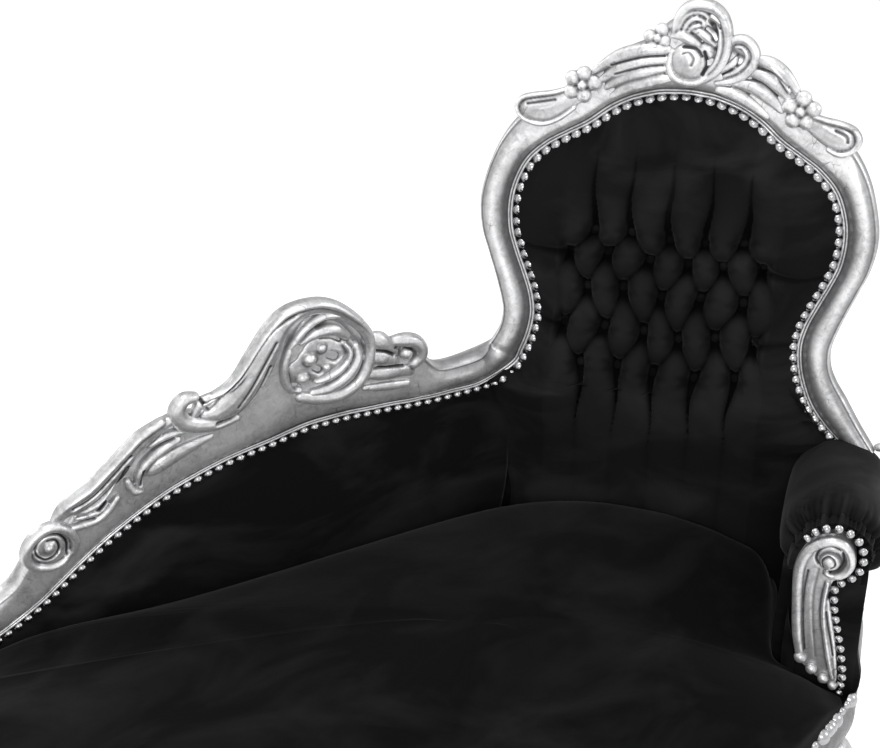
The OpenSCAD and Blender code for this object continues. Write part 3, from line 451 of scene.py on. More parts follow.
def carved_copy(node, voxel, rounds, face=None):
    """A copy of a small carved CAD node with its edges softened and marked with patina, painted
    shade, wear and a painted highlight.
    """
    piece = cad_copy(node, quads=False)
    remesh(piece, voxel)
    soften(piece.data, rounds)
    mark_relief(piece.data, face=face)
    finish_piece(piece, node, "silver_leaf")


# Materials

# Where a Mix node keeps its colours
COLOUR_A, COLOUR_B, COLOUR_RESULT = 6, 7, 2


def plug(tree, node, given):
    """Links sockets to a node's inputs, or writes values into them."""
    for key, value in given.items():
        socket = node.inputs[key]
        if hasattr(value, "is_linked"):
            tree.links.new(value, socket)
        elif socket.type == "RGBA":
            socket.default_value = (*value, 1)
        else:
            socket.default_value = value


def add(tree, kind, given=None, **settings):
    """Adds a shader node with its settings and inputs."""
    node = tree.nodes.new("ShaderNode" + kind)
    for key, value in settings.items():
        setattr(node, key, value)
    plug(tree, node, given or {})
    return node


def object_point(tree):
    """The point of the object that is shaded."""
    return add(tree, "TexCoord").outputs["Object"]


def stored(tree, name):
    """A value that the mesh keeps for each point."""
    return add(tree, "Attribute", attribute_name=name).outputs["Fac"]


def noise(tree, where, scale, detail, **more):
    """A cloudy mask."""
    given = {"Vector": where, "Scale": scale, "Detail": detail, **more}
    return add(tree, "TexNoise", given).outputs["Fac"]


def remap(tree, value, low, high, first, last):
    """A value carried from one range to another."""
    given = {"Value": value, 1: low, 2: high, 3: first, 4: last}
    return add(tree, "MapRange", given).outputs["Result"]


def maths(tree, operation, *terms, **settings):
    """A sum, product or the like of sockets and numbers."""
    return add(tree, "Math", dict(enumerate(terms)), operation=operation,
               **settings).outputs["Value"]


def colour_mix(tree, factor, first, second):
    """A mix of two colours by a mask."""
    given = {"Factor": factor, COLOUR_A: first, COLOUR_B: second}
    return add(tree, "Mix", given, data_type="RGBA").outputs[COLOUR_RESULT]


def darker(full, share):
    """A colour at a share of its brightness."""
    return tuple(c * share for c in full)


def relief(tree, shader, height, strength, distance):
    """Raises a material's surface by a height."""
    node = add(tree, "Bump", {"Height": height, "Strength": strength, "Distance": distance})
    plug(tree, shader, {"Normal": node.outputs["Normal"]})


def node_group(name, inputs, outputs, fill):
    """A shared group, filled when it is first used."""
    if name not in bpy.data.node_groups:
        group = bpy.data.node_groups.new(name, "ShaderNodeTree")
        for label, value in inputs.items():
            socket = group.interface.new_socket(label, in_out="INPUT",
                                                socket_type="NodeSocketFloat")
            socket.default_value = value
        for label in outputs:
            group.interface.new_socket(label, in_out="OUTPUT", socket_type="NodeSocketFloat")
        given = group.nodes.new("NodeGroupInput").outputs
        plug(group, group.nodes.new("NodeGroupOutput"), dict(zip(outputs, fill(group, given))))
    return bpy.data.node_groups[name]


def fill_leaf(group, given):
    """Leaf laid by hand: cracks, patches thinned by rubbing and a fine unevenness."""
    at = object_point(group)
    warp = add(group, "TexNoise", {"Vector": at, "Scale": 30.0, "Detail": 3.0})
    small = add(group, "VectorMath", {0: warp.outputs["Color"], "Scale": 0.03},
                operation="SCALE")
    moved = add(group, "VectorMath", {0: at, 1: small.outputs["Vector"]}, operation="ADD")
    cells = add(group, "TexVoronoi", {"Vector": moved.outputs["Vector"],
                                      "Scale": given["Sheet Scale"]}, feature="DISTANCE_TO_EDGE")
    crack = remap(group, cells.outputs["Distance"], 0.0, 0.035, 1.0, 0.0)
    keep = remap(group, noise(group, at, 55.0, 4.0), 0.54, 0.68, 0.0, 0.6)
    cracks = maths(group, "MULTIPLY", crack, keep)
    patch = remap(group, noise(group, at, 16.0, 6.0, Roughness=0.62), 0.42, 0.66, 0.0, 1.0)
    flecks = remap(group, noise(group, at, 75.0, 6.0, Roughness=0.75, Distortion=0.8),
                   0.40, 0.64, 0.0, 0.6)
    fine = maths(group, "MULTIPLY", noise(group, at, given["Grain Scale"], 3.0), 0.12)
    height = maths(group, "ADD", fine, noise(group, at, 70.0, 2.0))
    return (cracks, maths(group, "MULTIPLY_ADD", patch, 0.5, flecks),
            maths(group, "SUBTRACT", height, maths(group, "MULTIPLY", cracks, 0.25)))


def fill_weave(group, given):
    """Plain woven threads: a mask of the gaps and a height."""
    at = object_point(group)
    waves = [add(group, "TexWave", {"Vector": at, "Scale": given["Threads"],
                                    "Distortion": 0.6, "Detail": 1.0},
                 bands_direction=way).outputs["Fac"] for way in "XY"]
    threads = maths(group, "MAXIMUM", *waves)
    return maths(group, "SUBTRACT", 1.0, threads), threads


def silver(tree, shader, rough, bump):
    """Silver leaf over carved wood, darkened in its recesses and on flanks by patina and painted
    shade, and brightened on its crowns by wear and a painted highlight.
    """
    finish = bpy.context.scene.chaise_finish
    laid = node_group("Laid leaf", {"Sheet Scale": 28.0, "Grain Scale": 420.0},
                      ("Cracks", "Patches", "Height"), fill_leaf)
    leaf = add(tree, "Group", node_tree=laid).outputs
    mottle = remap(tree, leaf["Patches"], 0.0, 1.0, 1.2, 0.25)
    # Wear and painted highlight, broken up by the leaf's patches
    wear_and_highlight_share = maths(tree, "MULTIPLY", stored(tree, "worn"), mottle, use_clamp=True)
    mid = colour_mix(tree, leaf["Patches"], finish.leaf_mid, darker(finish.leaf_mid, 0.6))
    base = colour_mix(tree, wear_and_highlight_share, mid, finish.leaf)
    cracked = colour_mix(tree, leaf["Cracks"], base, finish.leaf_shade)
    # Patina and painted shade, towards the leaf in the hollows
    edge = remap(tree, stored(tree, "hollow"), 0.08, 0.85, 0.0, 1.0)
    plug(tree, shader, {
        "Base Color": colour_mix(tree, edge, cracked, finish.leaf_shade), "Metallic": 0.6,
        "Roughness": remap(tree, leaf["Patches"], 0.0, 1.0, rough, rough + 0.16)})
    relief(tree, shader, leaf["Height"], bump, 0.0012)


def velvet(tree, shader):
    """Black velvet whose pile has been stroked in patches, with a painted highlight on crowns and
    fold crests and painted shade in valleys, round the buttons and over the seat.
    """
    finish = bpy.context.scene.chaise_finish
    at = object_point(tree)
    strokes = add(tree, "Mapping", {"Vector": at, "Scale": (5.0, 9.0, 14.0)})
    nap = noise(tree, strokes.outputs["Vector"], 1.0, 5.0, Roughness=0.55, Distortion=0.6)
    worn = remap(tree, nap, 0.45, 0.7, 0.0, 1.0)
    brushed = colour_mix(tree, worn, finish.velvet, finish.velvet_brushed_and_highlight)
    # Painted highlight on the pillows' crowns and the folds' crests
    raised = remap(tree, stored(tree, "worn"), 0.0, 1.0, 0.0, 0.7)
    lit = colour_mix(tree, raised, brushed, finish.velvet_brushed_and_highlight)
    # Painted shade: the velvet goes near black in the valleys, round the buttons, between folds
    # and over the seat
    plug(tree, shader, {
        "Base Color": colour_mix(tree, stored(tree, "hollow"), lit, (0.0008, 0.0008, 0.0008)),
        "Sheen Weight": 0.07, "Sheen Roughness": 0.4, "Sheen Tint": (0.9, 0.9, 0.92),
        "Specular IOR Level": 0.06, "Roughness": remap(tree, worn, 0.0, 1.0, 0.85, 0.62)})
    pile = maths(tree, "MULTIPLY", noise(tree, at, 1400.0, 2.0), 0.25)
    relief(tree, shader, maths(tree, "ADD", pile, noise(tree, at, 45.0, 3.0)), 0.35, 0.0015)


def wood(tree, shader):
    """Bare beech with its grain."""
    beech = bpy.context.scene.chaise_finish.beech
    along = add(tree, "Mapping", {"Vector": object_point(tree), "Scale": (6.0, 40.0, 40.0)})
    grain = noise(tree, along.outputs["Vector"], 4.0, 6.0, Distortion=0.8)
    plug(tree, shader, {"Base Color": colour_mix(tree, grain, beech, darker(beech, 0.6)),
                        "Roughness": remap(tree, grain, 0.3, 0.7, 0.5, 0.65)})
    relief(tree, shader, grain, 0.2, 0.001)


def woven(tree, shader, thread, threads):
    """Woven cloth such as webbing, hessian or a dust cover."""
    plain = node_group("Plain weave", {"Threads": 400.0}, ("Gaps", "Height"), fill_weave)
    weave = add(tree, "Group", {"Threads": threads}, node_tree=plain).outputs
    # Painted shade: the gaps between threads are darker
    plug(tree, shader, {"Base Color": colour_mix(tree, weave["Gaps"], thread,
                                                 darker(thread, 0.45)), "Roughness": 0.92})
    relief(tree, shader, weave["Height"], 0.5, 0.0008)


def foam(tree, shader):
    """Open foam with its cells."""
    cells = add(tree, "TexVoronoi", {"Vector": object_point(tree), "Scale": 700.0})
    depth = cells.outputs["Distance"]
    # Painted shade: the pits of the cells are darker
    plug(tree, shader, {"Base Color": colour_mix(tree, depth, (0.52, 0.45, 0.27),
                                                 (0.80, 0.74, 0.55)), "Roughness": 0.95})
    relief(tree, shader, depth, 0.4, 0.0008)


def steel(tree, shader, plate, rough):
    """Plated steel with a faint unevenness."""
    cloud = noise(tree, object_point(tree), 90.0, 3.0)
    plug(tree, shader, {"Base Color": colour_mix(tree, cloud, plate, darker(plate, 0.8)),
                        "Metallic": 1.0,
                        "Roughness": remap(tree, cloud, 0.3, 0.7, rough, rough + 0.1)})


def pale_floor(tree, shader):
    """A plain floor that the camera and the reflections see pale."""
    path = add(tree, "LightPath").outputs
    seen = maths(tree, "MAXIMUM", path["Is Camera Ray"], path["Is Glossy Ray"])
    plug(tree, shader, {"Base Color": (0.86, 0.86, 0.86), "Roughness": 1.0,
                        "Specular IOR Level": 0.0, "Emission Color": (1, 1, 1),
                        "Emission Strength": maths(tree, "MULTIPLY", seen, 0.55)})


FINISHES = {
    "silver_leaf": (silver, 0.30, 0.45), "nail_heads": (steel, (0.50, 0.50, 0.51), 0.2),
    "velvet": (velvet,), "beech": (wood,), "steel": (steel, (0.42, 0.43, 0.45), 0.35),
    "webbing": (woven, (0.42, 0.29, 0.14), 300.0), "hessian": (woven, (0.46, 0.34, 0.19), 180.0),
    "dust_cloth": (woven, (0.018, 0.018, 0.020), 500.0), "foam": (foam,),
    "pale_floor": (pale_floor,),
}


def material(name):
    """A finish of the chaise, made when it is first used."""
    made = bpy.data.materials.get("chaise_" + name)
    if made is None:
        made = bpy.data.materials.new("chaise_" + name)
        made.use_nodes = True
        paint, *values = FINISHES[name]
        paint(made.node_tree, made.node_tree.nodes["Principled BSDF"], *values)
    return made


def dress_node(node, slot):
    """Gives a CAD node its finish."""
    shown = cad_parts[node]
    for i in range(len(shown.material_slots)):
        shown.material_slots[i].material = material(slot)
    if not shown.material_slots:
        shown.data.materials.append(material(slot))


# Mouldings


# Across the moulding from the nail line: share, height where it is round, height where it is
# flat, then how dark (patina and painted shade) and how bright (wear and a painted highlight) the
# leaf is where it is round and where it is flat
SECTION = [
    (0.10, -14, -14, 0.9, 0, 0.9, 0), (0.10, 2, 2, 0.7, 0, 0.7, 0),
    (0.105, 3.6, 3.6, 0.4, 0, 0.4, 0), (0.125, 4.9, 4.9, 0, 0.5, 0, 0.5),
    (0.15, 5.2, 5.2, 0, 0.8, 0, 0.8), (0.17, 4.4, 4.4, 0.2, 0, 0.2, 0),
    (0.18, 3.3, 3.3, 1, 0, 1, 0), (0.19, 4.2, 4.2, 0.3, 0, 0.3, 0),
    (0.21, 5.4, 5.4, 0, 0.6, 0, 0.6), (0.23, 5.2, 5.4, 0, 0.6, 0, 0.6),
    (0.245, 4.2, 4.6, 0.4, 0, 0.4, 0), (0.255, 3.6, 4.4, 1, 0, 1, 0),
    (0.28, 5.2, 7.0, 0.6, 0, 0.2, 0.3), (0.33, 8.6, 11.0, 0.42, 0, 0, 0.8),
    (0.40, 12.6, 13.4, 0.26, 0, 0, 0.9), (0.48, 15.8, 14.0, 0.1, 0.2, 0, 0.9),
    (0.57, 18.2, 14.0, 0, 0.75, 0, 0.8), (0.66, 19.2, 14.0, 0, 1, 0, 0.7),
    (0.74, 19.0, 14.0, 0, 0.7, 0, 0.6), (0.81, 17.6, 14.0, 0.15, 0.1, 0, 0.6),
    (0.86, 15.4, 13.8, 0.3, 0, 0, 0.5), (0.885, 13.8, 13.4, 0.4, 0, 0.2, 0),
    (0.90, 13.0, 13.0, 0.6, 0, 0.4, 0), (0.915, 13.4, 12.6, 0.35, 0, 0.2, 0),
    (0.94, 12.6, 11.0, 0, 0.5, 0, 0.4), (0.965, 9.6, 8.0, 0.1, 0.2, 0.1, 0.2),
    (0.985, 5.0, 4.0, 0.3, 0, 0.3, 0), (1.0, -3, -2, 0.5, 0, 0.5, 0),
    (0.99, -9, -8, 0.4, 0, 0.4, 0), (0.96, -15, -15, 0.2, 0.1, 0.2, 0.1),
    (0.91, -19, -19, 0.1, 0.3, 0.1, 0.3), (0.84, -21.6, -21.6, 0.2, 0, 0.2, 0),
    (0.74, -22, -22, 0.1, 0.1, 0.1, 0.1), (0.5, -22, -22, 0.1, 0.1, 0.1, 0.1),
    (0.38, -22, -22, 0.2, 0, 0.2, 0), (0.34, -21, -21, 0.5, 0, 0.5, 0),
    (0.34, -14, -14, 0.9, 0, 0.9, 0), (0.22, -14, -14, 0.9, 0, 0.9, 0),
]

# Rows of the frame from top to foot: inner point, outer point and how flat the section is
HALF_FRAME = [
    (0, 311, 4, 424, 1), (22, 309.5, 29, 415, 1), (40, 307, 56, 389, 1), (71, 297, 91, 370, 1),
    (97, 282, 130, 338, 1), (123, 261, 170, 309, 1), (150, 245, 203, 285, 1),
    (178, 227, 231, 262, 1), (202, 203, 254, 224, 0.2), (216, 172, 269, 178, 0),
    (221, 140, 274, 141, 0), (218, 106, 269, 104, 0), (208, 77, 258, 73, 0),
    (195, 47, 245, 38, 0), (184, 18, 236, 10, 0), (179, -11, 231, -13, 0),
    (182, -40, 234, -37, 0), (190, -68, 244, -58, 0), (204, -98, 261, -82, 0)]
RIGHT_FOOT = [(226, -124, 282, -114, 0), (256, -150, 308, -150, 0)]
LEFT_FOOT = [(204, -98, 247, -62, 0)]

# The same for the low rail, from the back to the foot end
LOW_ROWS = [
    (-221, 265, -222, 327, 0), (-270, 266, -262, 323, 0), (-300, 267, -290, 330, 0.6),
    (-318, 269, -308, 350, 1), (-335, 270, -326, 378, 1), (-365, 274, -366, 392, 1),
    (-400, 277, -402, 407, 1), (-430, 280, -434, 444, 1), (-460, 281, -466, 466, 1),
    (-490, 281, -499, 473, 1), (-520, 277, -532, 462, 1), (-548, 272, -562, 419, 1),
    (-580, 268, -592, 384, 1), (-617, 262, -630, 362, 1), (-660, 251, -680, 368, 1),
    (-700, 238, -724, 350, 1), (-745, 217, -772, 320, 1), (-790, 192, -820, 283, 1),
    (-827, 167, -862, 242, 1), (-856, 146, -893, 223, 1), (-890, 122, -924, 182, 1),
    (-948, 92, -964, 156, 0.3), (-1020, 64, -1034, 122, 0), (-1080, 48, -1088, 101, 0),
    (-1130, 40, -1132, 88, 0)]

# Share of the section that its beads take, and the width at which they were drawn
BEADED = 0.255
DRAWN_WIDTH = 0.052
FLOW = 6   # rings from one row to the next


def section_ring(inner, outer, out, flat):
    """The moulding's section between two points of the row; its beads keep their width."""
    way = (outer - inner).normalized()
    beads = BEADED * DRAWN_WIDTH
    rest = (outer - inner).length - beads

    def reach(share):
        if share <= BEADED:
            return share * DRAWN_WIDTH
        return beads + (share - BEADED) / (1 - BEADED) * rest

    return [inner + way * reach(p[0]) + out * ((p[1] * (1 - flat) + p[2] * flat) * MM)
            for p in SECTION]


def flow_rings(rings, n):
    """Rings flowing from one to the next, with no overshoot where they crowd together."""
    rows = np.array([[tuple(point) for point in ring] for ring in rings])
    step = np.diff(rows, axis=0)
    size = np.linalg.norm(step, axis=2, keepdims=True)
    pull = np.zeros_like(rows)
    pull[1:-1] = 0.5 * (step[:-1] + step[1:])
    most = 1.6 * np.minimum(size[:-1], size[1:])
    long = np.linalg.norm(pull[1:-1], axis=2, keepdims=True)
    pull[1:-1] *= np.minimum(1, most / np.maximum(long, 1e-9))
    pull[0], pull[-1] = step[0], step[-1]
    out = []
    for i in range(len(rows) - 1):
        for k in range(n):
            u = k / n
            out.append(rows[i] * (2 * u**3 - 3 * u**2 + 1) + pull[i] * (u**3 - 2 * u**2 + u)
                       + rows[i + 1] * (3 * u**2 - 2 * u**3) + pull[i + 1] * (u**3 - u**2))
    return [ring.tolist() for ring in out + [rows[-1]]]


def moulding(name, rings, flats):
    """A length of moulding through its sections."""
    bm = bmesh.new()
    loft(bm, rings, [[(p[3] * (1 - f) + p[5] * f, p[4] * (1 - f) + p[6] * f) for p in SECTION]
                     for f in flats])
    bmesh.ops.recalc_face_normals(bm, faces=bm.faces)
    piece = new_piece(name, bm)
    # Painted highlight on the low rail's leaf towards the foot end
    if name == "low_rail":
        paint_foot_highlight(piece.data, 0.75)
    return finish_piece(piece, name, "silver_leaf")


def field_edge():
    """Half the outline of the buttoned field, top to foot."""
    rows = curve_rows(HALF_FRAME, FLOW)
    return rows[:, :2] + (rows[:, 2:4] - rows[:, :2]) * FIELD_SHARE


class CHAISE_OT_mouldings(bpy.types.Operator):
    """Makes the cartouche's moulding and the low rail's."""

    bl_idname = "chaise.mouldings"
    bl_label = "Mouldings"

    def execute(self, context):
        plane = faces()
        back, low = plane["back"], plane["low"]

        def back_ring(row, side):
            return section_ring(back.at(side * row[0], row[1]), back.at(side * row[2], row[3]),
                                back.out, row[4])

        right = RIGHT_FOOT[::-1] + HALF_FRAME[::-1]
        left = HALF_FRAME[1:-1] + LEFT_FOOT
        rows = [back_ring(r, 1) for r in right] + [back_ring(r, -1) for r in left]
        joint = (len(rows) - 1) * FLOW + FLOW // 2
        rows += [section_ring(low.at(r[0], r[1]), low.at(r[2], r[3] - 5 * r[4]), low.out, r[4])
                 for r in LOW_ROWS]
        flat = [r[4] for r in right + left + LOW_ROWS]
        rings = flow_rings(rows, FLOW)
        flats = np.interp(np.arange(len(rings)) / FLOW, np.arange(len(rows)), flat)
        moulding("back_frame", rings[:joint + 1], flats[:joint + 1])
        moulding("low_rail", rings[joint:], flats[joint:])
        return {"FINISHED"}


# Carvings of the crest

# Ribs are rows of across, up, half width and height above the bed
LEAF_SCROLL = [
    [(-25, 397, 3, 5), (-22, 411, 5, 9), (-17, 424, 6, 12), (-8, 434, 6.5, 14),
     (7, 438, 7, 15), (23, 436, 7, 15), (36, 427, 6.5, 15), (44, 412, 6, 14),
     (47, 396, 5.5, 13), (47, 380, 5.5, 12), (42, 363, 5, 11), (33, 349, 4.5, 9),
     (19, 338, 4, 6)],
    [(17, 417, 2.5, 7), (28, 411, 3.5, 10), (36, 399, 3.5, 10.5), (38, 385, 3.5, 10),
     (36, 370, 3.5, 9.5), (30, 357, 3.5, 8), (16, 345, 3, 6)],
    [(-20, 402, 2.5, 6), (-14, 418, 3.2, 10), (-3, 427, 3.2, 11), (9, 428, 3, 10),
     (18, 423, 2.5, 7)],
    [(-13, 402, 2.5, 6), (-7, 414, 3.2, 10), (3, 420, 3.2, 11), (13, 417, 2.5, 8)],
    [(-6, 402, 2.2, 6), (0, 409, 2.8, 9), (8, 411, 2.6, 8)],
    [(1, 404, 3, 7), (10, 402, 5, 10), (20, 396, 5.5, 11), (30, 387, 2.5, 7)],
    [(-27, 394, 3, 5), (-15, 396, 6, 11), (-3, 392, 6, 12), (8, 387, 4, 8)],
    [(-25, 374, 3, 6), (-27, 357, 4.5, 10), (-19, 341, 5.5, 11), (-3, 335, 6, 11),
     (13, 337, 5, 9), (26, 346, 4, 7)],
]
SIDE_SCROLL = [
    [(49, 388, 3, 6), (55, 396, 5, 9), (68, 398, 5.5, 12), (79, 391, 5.5, 13),
     (85, 379, 5.5, 13), (83, 365, 5.5, 12), (72, 351, 5, 10), (55, 341, 4.5, 8),
     (37, 337, 3, 5)],
    [(58, 387, 2.2, 6), (68, 386, 3, 8), (74, 377, 3, 9), (71, 366, 3, 8), (60, 355, 3, 7),
     (46, 348, 2, 5)],
    [(41, 352, 2, 5), (50, 359, 4, 9), (58, 368, 4, 9), (62, 377, 2, 5)],
]
CREST_SPRAYS = [
    [(-28, 362, 4, 6), (-60, 357, 6.5, 10), (-92, 344, 6.5, 9), (-118, 326, 3, 5)],
    [(-30, 376, 4, 6), (-62, 372, 7, 12), (-96, 360, 6.5, 10), (-126, 339, 3, 5)],
    [(-32, 350, 3, 5), (-60, 343, 6, 9), (-88, 332, 5.5, 7), (-108, 318, 3, 4)],
    [(-24, 338, 4, 5), (-52, 331, 6, 7), (-80, 320, 5.5, 6), (-100, 306, 3, 3)],
    [(86, 374, 4, 6), (104, 370, 6.5, 11), (124, 358, 6.5, 11), (142, 339, 4, 6)],
    [(78, 358, 4, 6), (98, 353, 6.5, 10), (118, 341, 6.5, 9), (136, 324, 3, 5)],
    [(62, 340, 4, 6), (86, 337, 6.5, 9), (108, 325, 6.5, 8), (126, 309, 3, 4)],
    [(42, 329, 4, 5), (66, 324, 6, 7), (90, 312, 5, 5), (108, 300, 3, 3)],
    [(106, 366, 2, 12), (122, 352, 2.5, 13), (134, 336, 2, 10)],
]
CREST_EARS = [
    [(-158, 312, 3, 6), (-180, 304, 3, 9), (-204, 299, 3, 9.5), (-222, 293, 3, 10),
     (-229, 281, 3, 10), (-223, 269, 3, 9.5), (-208, 261, 3, 9), (-190, 260, 3, 8),
     (-170, 269, 3, 7), (-150, 286, 3, 5)],
    [(-150, 300, 9, 5), (-172, 291, 14, 7), (-192, 282, 17, 7), (-209, 280, 14, 7)],
    [(-168, 292, 2, 7), (-190, 282, 2.4, 8), (-210, 280, 2, 7)],
    [(164, 308, 3, 6), (184, 303, 3.5, 9), (205, 300, 3.5, 10), (223, 294, 3.5, 11),
     (231, 280, 4, 12), (224, 266, 3.5, 10), (209, 259, 3.5, 9), (193, 264, 3, 6)],
    [(160, 300, 8, 5), (180, 292, 13, 7), (200, 283, 15, 7), (214, 279, 12, 7)],
    [(178, 296, 2, 7), (198, 288, 2.4, 8), (212, 284, 2, 7)],
]


def flower_knobs(middle, petals, r):
    """A flower's petals and its eye."""
    return [(u, v, r, r * 0.95) for u, v in petals] + [(*middle, r * 0.72, r * 1.15)]


class CHAISE_OT_crest(bpy.types.Operator):
    """Carves the crest of the back."""

    bl_idname = "chaise.crest"
    bl_label = "Crest"

    def execute(self, context):
        back = faces()["back"]
        bed = context.scene.chaise_form.bed / MM
        carve("crest_leaf_scroll", back, LEAF_SCROLL,
              [(-2, 361, 27, 13), (14, 413, 5, 11), (20, 378, 12, 8)],
              [([(-10, 373), (-2, 375), (5, 368), (3, 359)], 2.6, 1.6, 0.3),
               ([(18, 377), (23, 362), (18, 348)], 3.5, 5, 0.8),
               ([(24, 418), (30, 405), (30, 396)], 6, 7, 0.8),
               ([(-10, 382), (6, 381), (16, 372)], 3, 4, 0.6)], bed)
        carve("crest_side_scroll", back, SIDE_SCROLL, [],
              [([(62, 378), (63, 383)], 4, 4, 0.7), ([(40, 347), (56, 358)], 2.5, 3, 0.7)], bed)
        knobs = flower_knobs((-141, 318), [(-155, 326), (-140, 333), (-125, 322), (-138, 304),
                                           (-156, 307)], 11)
        knobs += flower_knobs((151, 311), [(153, 328), (167, 315), (160, 298), (143, 299),
                                           (137, 317)], 11.5)
        knobs += flower_knobs((-46, 390), [(-41, 401), (-56, 391), (-37, 386), (-52, 378)], 9.4)
        carve("crest_flowers", back, [], knobs, [], bed, rounds=1)
        carve("crest_leaves", back, CREST_SPRAYS, [],
              [([(-34, 367), (-64, 363), (-104, 349)], 2.4, 2.5, 0.4),
               ([(-36, 355), (-62, 350), (-98, 337)], 2.2, 2, 0.35),
               ([(90, 363), (112, 358), (132, 342)], 2.4, 2.5, 0.4),
               ([(72, 348), (98, 344), (122, 326)], 2.2, 2, 0.35)], bed, broad=1.5)
        carve("crest_ears", back, CREST_EARS, [],
              [([(-176, 295), (-200, 289), (-214, 286)], 3, 2, 0.4),
               ([(200, 291), (214, 285), (217, 277)], 3, 2, 0.5)], bed)
        return {"FINISHED"}


# Carvings of the low rail

ROCAILLE = [
    [(-516, 352, 5, 8), (-527, 372, 6, 10), (-529, 396, 6.5, 11), (-522, 420, 6.5, 12),
     (-508, 441, 6.5, 13), (-490, 455, 6.5, 13), (-468, 461, 6, 12), (-447, 456, 5, 11)],
    [(-504, 428, 4, 9), (-482, 439, 9, 14), (-456, 437, 10, 14), (-436, 420, 6, 9)],
    [(-424, 404, 5, 9), (-422, 382, 8, 13), (-436, 360, 10, 13), (-462, 347, 9, 11),
     (-490, 346, 6, 8)],
    [(-440, 410, 3, 9), (-433, 394, 5, 12), (-444, 377, 6.5, 13), (-464, 366, 7, 12),
     (-484, 363, 4, 9)],
    [(-505, 385, 20, 5), (-478, 392, 38, 6), (-448, 396, 26, 5)],
]
SCROLL_BAND = [
    [(-640, 356, 9, 8), (-622, 358, 15, 12), (-599, 372, 19, 14), (-573, 401, 19, 15),
     (-550, 436, 17, 15), (-530, 464, 13, 14), (-505, 477, 10, 13), (-478, 477, 9, 13),
     (-452, 466, 8, 12), (-427, 443, 7, 12), (-409, 422, 7, 12), (-402, 403, 7, 12),
     (-402, 384, 7, 12), (-408, 361, 8, 12), (-424, 341, 8, 12), (-450, 331, 8, 11),
     (-482, 335, 8, 10), (-506, 344, 7, 8)],
    [(-640, 382, 3, 8), (-604, 396, 5, 15), (-577, 430, 5, 17), (-551, 463, 5, 18),
     (-523, 483, 5, 18), (-484, 485, 5, 17), (-453, 473, 5, 16), (-426, 449, 5, 15),
     (-408, 427, 4, 13), (-399, 406, 4, 12), (-399, 387, 4, 11)],
    [(-600, 340, 5, 7), (-625, 341, 8, 11), (-652, 346, 10, 13), (-675, 358, 11, 15),
     (-682, 377, 10, 15), (-672, 391, 8, 14), (-657, 390, 6, 11)],
    [(-636, 384, 4, 8), (-650, 378, 6, 10), (-657, 366, 5, 9)],
]
RAIL_LEAVES = [
    [(-858, 261, 6, 7), (-846, 274, 9, 12), (-826, 283, 12, 14), (-800, 297, 12, 14),
     (-772, 319, 11, 14), (-744, 341, 10, 13), (-715, 357, 8, 11), (-692, 364, 6, 8)],
    [(-856, 270, 3.5, 9), (-840, 285, 4, 15), (-812, 299, 4.5, 17), (-786, 318, 4.5, 17),
     (-758, 340, 4.5, 17), (-736, 356, 4.5, 16), (-704, 368, 4, 12)],
    [(-844, 273, 3, 8), (-824, 268, 4, 12), (-802, 273, 4.5, 14), (-780, 290, 4.5, 14),
     (-762, 308, 4.5, 13), (-747, 329, 4, 11), (-728, 346, 3, 8)],
    [(-848, 243, 4, 6), (-820, 244, 5, 9), (-802, 247, 5, 10), (-788, 256, 5, 10),
     (-774, 271, 4, 8)],
    [(-830, 256, 3, 6), (-806, 258, 4, 9), (-790, 268, 3, 8)],
    [(-758, 292, 4, 8), (-752, 275, 5, 11), (-742, 272, 5, 10)],
    [(-742, 274, 4, 9), (-742, 296, 5, 12), (-730, 313, 6, 13), (-708, 326, 6, 12),
     (-684, 333, 4, 8)],
    [(-738, 302, 6, 6), (-722, 298, 8, 8), (-700, 306, 9, 8), (-678, 313, 8, 7),
     (-655, 319, 6, 6), (-638, 322, 4, 4)],
    [(-724, 336, 3, 8), (-700, 344, 4.5, 9), (-674, 343, 4, 7)],
]
SCROLL_END = [
    [(-404, 404, 7, 8), (-390, 400, 11, 13), (-376, 388, 9, 12), (-366, 376, 6, 9)],
    [(-404, 378, 8, 8), (-386, 372, 11, 12), (-368, 362, 8, 10)],
    [(-368, 392, 6, 9), (-350, 390, 8, 13), (-334, 384, 8, 14), (-324, 372, 8, 14),
     (-324, 358, 8, 13), (-334, 348, 7, 11)],
    [(-404, 350, 7, 8), (-382, 345, 9, 10), (-358, 342, 9, 9), (-340, 336, 7, 6)],
    [(-410, 329, 4, 5), (-376, 322, 6, 6), (-344, 317, 5, 5)],
]
VOLUTE = [
    [(-840, 205, 4, 7), (-836, 222, 5, 10), (-841, 239, 5.5, 12), (-854, 252, 6, 13),
     (-870, 256, 6, 13), (-887, 249, 6, 13), (-900, 235, 6, 13), (-903, 217, 6, 12),
     (-893, 202, 5.5, 11), (-874, 194, 5, 10), (-856, 196, 4.5, 9), (-846, 206, 4, 7)],
    [(-860, 214, 2.5, 7), (-872, 209, 3.5, 9), (-886, 214, 3.5, 9), (-891, 226, 3, 8)],
    [(-870, 218, 22, 6), (-871, 230, 22, 6)],
]


